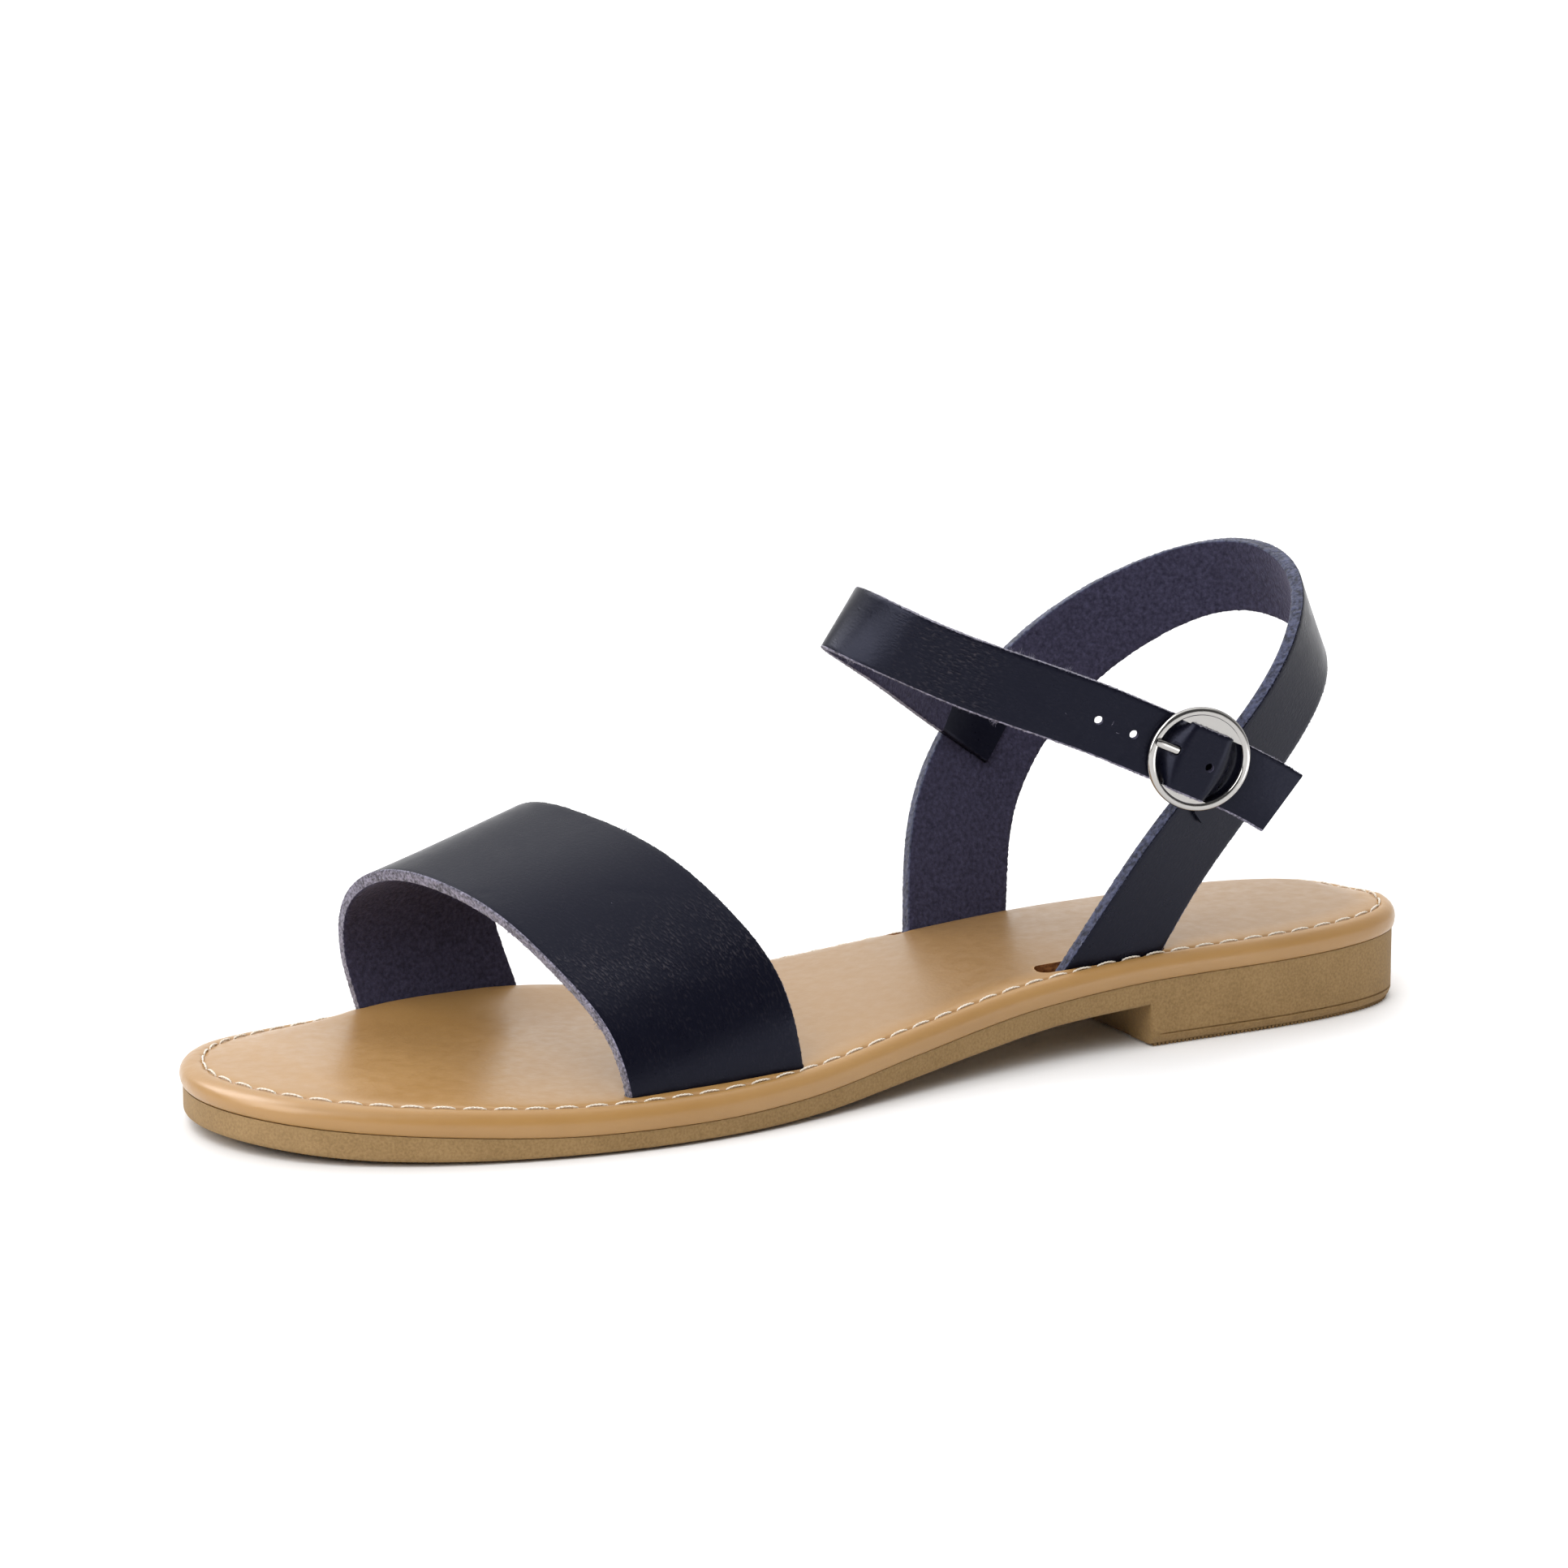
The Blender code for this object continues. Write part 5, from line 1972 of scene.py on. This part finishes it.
@dataclass
class AnkleStrap(BandStrap):
    """Strap from inside the heel strap, round the front of the ankle, over the buckle's bar to its tip."""

    name: str = "ankle_strap_leather"
    outer: float = 0.75
    thickness: float = 1.5
    steps: int = 540
    buckle: Buckle | None = None
    rise: float = 3.2
    rise_reach: float = 8.1
    rise_flat: float = 3.3
    hole_runs: tuple[float, ...] = (-20.7, -13.3, 2.0)
    hole_radius: float = 0.85
    hole_sides: int = 24
    # room round the prong in the hole that it goes through
    prong_room: float = 0.25
    tip_skew: float = 1.1
    tip_runs: Pair = (12.0, 18.0)
    black_end: float = 13.5
    table: Rows = (
        (-29.6, 66.2, 50.7, -10.0, 13.5),
        (-30.8, 73.2, 56.0, -2.0, 13.5),
        (-29.4, 81.6, 61.9, 5.0, 13.5),
        (-21.2, 98.2, 72.9, 17.6, 13.4),
        (-8.6, 113.4, 82.6, 34.0, 13.4),
        (2.8, 111.1, 81.0, 19.0, 13.5),
        (14.1, 98.8, 74.7, 15.5, 13.6),
        (25.2, 76.4, 65.4, 4.0, 13.5),
        (28.4, 67.8, 61.3, -1.0, 13.4),
        (31.1, 58.9, 57.1, -8.0, 13.4),
        (33.5, 50.6, 52.9, -15.5, 13.3),
        (35.7, 41.7, 47.5, -22.0, 13.1),
    )
    flexed_and_highlighted: Rows = ((90.0, 9.0, 1.0), (80.0, 5.0, 0.4))
    tufts: tuple[tuple[float, int], ...] = (
        (99.0, 1),
        (101.0, 1),
        (103.5, 1),
        (111.0, 1),
        (71.0, -1),
        (101.0, -1),
    )
    scuffs: tuple[Scuff, ...] = (
        Scuff(113.2, -0.9, 0.5, -30.0),
        Scuff(122.3, 0.1, 0.9, 80.0),
        Scuff(123.7, -0.9, 0.7, 0.0),
    )
    creases: tuple[Crease, ...] = (
        Crease(73.8, 0.0, 18.0, 2.6, 0.10),
        Crease(79.6, 0.0, 18.0, 2.2, -0.13),
        Crease(117.0, -4.0, 6.0, 0.7, 0.07, 8.0),
        Crease(126.5, -4.4, 5.5, 0.8, 0.08, -6.0),
        Crease(127.6, 3.2, 4.0, 0.7, 0.05),
    )

    def shaped(self, spot: Array) -> Array:
        """The face pushed out through the ring, over the bar and under both sides of the ring.

        Args:
            spot: Places on the plain face.

        Returns:
            The moved places.
        """
        along, bar, out = self.buckle.axes()
        offset = (spot - self.buckle.place(0.0, 0.0, 0.0)) / MM
        run = offset @ along
        room = np.sqrt(np.maximum(self.rise_reach**2 - (offset @ bar) ** 2, 1.0))
        near = (np.abs(run) < room) & (np.abs(offset @ out) < self.buckle.ring_radius)
        share = np.clip((np.abs(run) - self.rise_flat) / np.maximum(room - self.rise_flat, 0.5), 0.0, 1.0)
        lift = np.where(near, self.rise * (1.0 + np.cos(math.pi * share)) / 2, 0.0)
        over = (spot - spot.mean(axis=1, keepdims=True)) @ bar / MM
        start, end = self.tip_runs
        past = np.clip((run - start) / (end - start), 0.0, 1.0)
        tip = np.where(offset @ out > -self.buckle.ring_radius, past, 0.0)
        back = tip * self.tip_skew * (0.5 - over / self.table[-1][-1])
        return spot + (lift[..., None] * out - back[..., None] * along) * MM

    def punch(self, made: Piece) -> None:
        """Cut the round holes and the prong's hole.

        Args:
            made: The strap.
        """
        place, _, normal, _ = self.frame_rows()
        run = np.concatenate([[0.0], np.cumsum(np.linalg.norm(np.diff(place, axis=0), axis=1))]) / MM
        offset = np.abs((place - self.buckle.place(0.0, 0.0, 0.0)) @ self.buckle.axes()[0])
        half = len(offset) // 2
        bar = half + int(np.argmin(offset[half:]))
        for distance in self.hole_runs:
            k = int(np.argmin(np.abs(run - run[bar] - distance)))
            turn = Vector(normal[k]).to_track_quat("Z", "Y").to_matrix().to_4x4()
            build = bmesh.new()
            bmesh.ops.create_cone(
                build,
                cap_ends=True,
                segments=self.hole_sides,
                radius1=self.hole_radius * MM,
                radius2=self.hole_radius * MM,
                depth=6 * self.thickness * MM,
                matrix=Matrix.Translation(Vector(place[k])) @ turn,
            )
            mesh = bpy.data.meshes.new("punch")
            build.to_mesh(mesh)
            build.free()
            mesh.materials.append(self.finishes.flesh)
            cut_with(made, linked("punch", mesh))
        way = self.buckle.prong("prong_way", self.prong_room)
        way.data.materials[0] = self.finishes.flesh
        cut_with(made, way)
        smooth(made.data, LEATHER_SHARP)


@dataclass
class Slots:
    """Slots that the strap ends go down through the footbed."""

    footbed: Footbed
    finishes: Finishes
    gap: float = 0.3
    behind: float = 0.8
    ahead: float = 4.2
    toe_overhang: float = 0.5
    outer_room: float = 1.5
    end_points: int = 9

    def cut(self, cover: Piece, toe: ToeStrap, heel: HeelStrap) -> None:
        """Cut the slots out of the cover.

        Args:
            cover: The footbed's object.
            toe: The toe strap.
            heel: The heel strap.
        """
        cut_with(cover, self.cutter("toe_slots", toe, self.toe_overhang, self.toe_overhang, 0.0))
        cut_with(cover, self.cutter("heel_slots", heel, self.behind, self.ahead, 1.0))
        smooth(cover.data, LEATHER_SHARP)

    def cutter(self, name: str, strap: Strap, behind: float, ahead: float, wide: float) -> Piece:
        """Body of a strap grown by the gap and widened behind and ahead.

        Args:
            name: The object's name.
            strap: The strap that goes through.
            behind: Distance past the strap's heel side edge.
            ahead: Distance past its other edge.
            wide: Share of the extra room inside the strap on the outer side.

        Returns:
            The cutter.
        """
        half = strap.thickness / 2 + self.gap
        turn = np.radians(np.linspace(-90.0, 90.0, self.end_points))
        share = np.repeat((1.0, -1.0), self.end_points)
        past = np.concatenate([ahead - half + half * np.cos(turn), half - behind - half * np.cos(turn)])
        lean = np.concatenate([np.sin(turn), -np.sin(turn)])
        spot, across, normal = strap.face(share)
        room = self.outer_room * (spot[..., 0] > 0.0) * np.clip(-lean, 0.0, 1.0)
        offset = strap.outer - strap.thickness / 2 + half * lean - room * wide
        verts = spot + (across * past[:, None] + normal * offset[..., None]) * MM
        rows, size = verts.shape[:2]
        return mesh_object(name, verts.reshape(-1, 3), tube_faces(rows, size), [self.finishes.slot])


class Glow(Enum):
    """What a light does: a lamp lights without a reflection, and a card is a reflection alone."""

    LAMP = "lamp"
    CARD = "card"


@dataclass(frozen=True)
class SoftLight:
    """A square soft light that the camera does not see."""

    name: str
    glow: Glow
    # in metres
    place: Place
    size: float
    # in watts
    power: float
    # the place that it faces, in metres
    aim: Place = (0.0, 0.0, 0.0)

    def build(self) -> None:
        """Hang the light."""
        lamp = bpy.data.lights.new(self.name, "AREA")
        lamp.size = self.size
        lamp.energy = self.power
        made = linked(self.name, lamp)
        made.location = self.place
        made.rotation_euler = (Vector(self.place) - Vector(self.aim)).to_track_quat("Z", "Y").to_euler()
        made.visible_camera = False
        made.visible_glossy = self.glow is Glow.CARD
        made.visible_diffuse = self.glow is Glow.LAMP


@dataclass
class Studio:
    """White floor, soft lights and the camera."""

    last: Last
    azimuth: float = 61.541
    elevation: float = 13.097
    distance: float = 1200.0
    target: Place = (-8.594, 126.375, 51.705)
    lens: float = 144.36
    floor_size: float = 12.0
    floor_drop: float = 0.02
    near_sky: float = 0.10
    far_sky: float = 1.10
    # how far the dim side of the sky reaches, from -1 behind the camera to 1 behind the sandal
    sky_start: float = -0.6
    lights: tuple[SoftLight, ...] = (
        SoftLight("ceiling", Glow.LAMP, (-0.6, 0.3, 2.6), 6.0, 78.0),
        SoftLight("key", Glow.LAMP, (0.85, -1.47, 1.7), 2.2, 50.0),
        SoftLight("front_card", Glow.CARD, (0.1, -1.95, 1.0), 1.6, 40.0),
        SoftLight("side_card", Glow.CARD, (-1.1, -1.1, 1.55), 1.4, 44.0),
        SoftLight("top_card", Glow.CARD, (-0.62, 0.29, 1.88), 2.4, 13.0),
        SoftLight("floor_card", Glow.CARD, (0.24, 0.20, 0.001), 0.18, 0.34, (0.24, 0.20, 1.0)),
        SoftLight("backdrop", Glow.LAMP, (-2.6, 1.4, 1.8), 3.0, 60.0, (-2.6, 1.4, 0.0)),
    )

    def build(self) -> None:
        """Make the floor, the lights, the world and the camera."""
        self.floor()
        for light in self.lights:
            light.build()
        self.world()
        self.camera()

    def floor(self) -> None:
        """A wide white floor under the sole."""
        half = self.floor_size / 2
        low = -self.floor_drop * MM
        verts = np.array([(-half, -half, low), (half, -half, low), (half, half, low), (-half, half, low)])
        made = mesh_object("floor", verts, [(0, 1, 2, 3)], [FloorFinish().build()])

    def world(self) -> None:
        """White light from all round, bright behind the sandal and dim on the camera's side."""
        world = bpy.data.worlds.new("studio")
        world.use_nodes = True
        nodes, links = world.node_tree.nodes, world.node_tree.links
        back = nodes["Background"]
        back.inputs["Color"].default_value = (1.0, 1.0, 1.0, 1.0)
        toward = nodes.new("ShaderNodeVectorMath")
        toward.operation = "DOT_PRODUCT"
        turn = math.radians(self.azimuth)
        toward.inputs[1].default_value = (-math.sin(turn), math.cos(turn), 0.0)
        links.new(nodes.new("ShaderNodeTexCoord").outputs["Generated"], toward.inputs[0])
        fade = nodes.new("ShaderNodeMapRange")
        fade.inputs["From Min"].default_value = self.sky_start
        fade.inputs["To Min"].default_value = self.near_sky
        fade.inputs["To Max"].default_value = self.far_sky
        links.new(toward.outputs["Value"], fade.inputs["Value"])
        links.new(fade.outputs["Result"], back.inputs["Strength"])
        bpy.context.scene.world = world
        bpy.context.scene.view_settings.view_transform = "Standard"

    def camera(self) -> None:
        """A long lens at the photo's angle."""
        turn, rise = math.radians(self.azimuth), math.radians(self.elevation)
        back = Vector((math.sin(turn) * math.cos(rise), -math.cos(turn) * math.cos(rise), math.sin(rise)))
        lens = bpy.data.cameras.new("camera")
        lens.lens = self.lens
        lens.clip_start = 0.05
        made = linked("camera", lens)
        made.location = Vector(self.last.place(*np.array(self.target))) + back * self.distance * MM
        made.rotation_euler = back.to_track_quat("Z", "Y").to_euler()
        bpy.context.scene.camera = made


def dress_tab(finishes: Finishes) -> None:
    """Black leather on the buckle's tab, which keeps its solid.

    Args:
        finishes: The materials.
    """
    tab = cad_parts["buckle_tab"]
    tab.data.materials.clear()
    tab.data.materials.append(finishes.grain)
    LOG.info("buckle_tab: dressed")


def main() -> None:
    """Build every piece of the sandal in order."""
    logging.basicConfig(level=logging.INFO, format="%(message)s")
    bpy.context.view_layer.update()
    finishes = Finishes()
    last = Last()
    Sole(last, finishes).build()
    footbed = Footbed(last, finishes)
    cover = footbed.build()
    toe = ToeStrap(finishes, last)
    heel = HeelStrap(finishes, last)
    Slots(footbed, finishes).cut(cover, toe, heel)
    settle(cover, Slot.TAN, "footbed")
    EdgeStitching(footbed, finishes).build()
    toe.build("toe_strap")
    heel.build("heel_ankle_straps")
    buckle = Buckle(last, finishes)
    buckle.build()
    ankle = AnkleStrap(finishes, last, buckle=buckle)
    ankle.punch(ankle.build("heel_ankle_straps"))
    dress_tab(finishes)
    Studio(last).build()


if __name__ == "__main__":
    main()
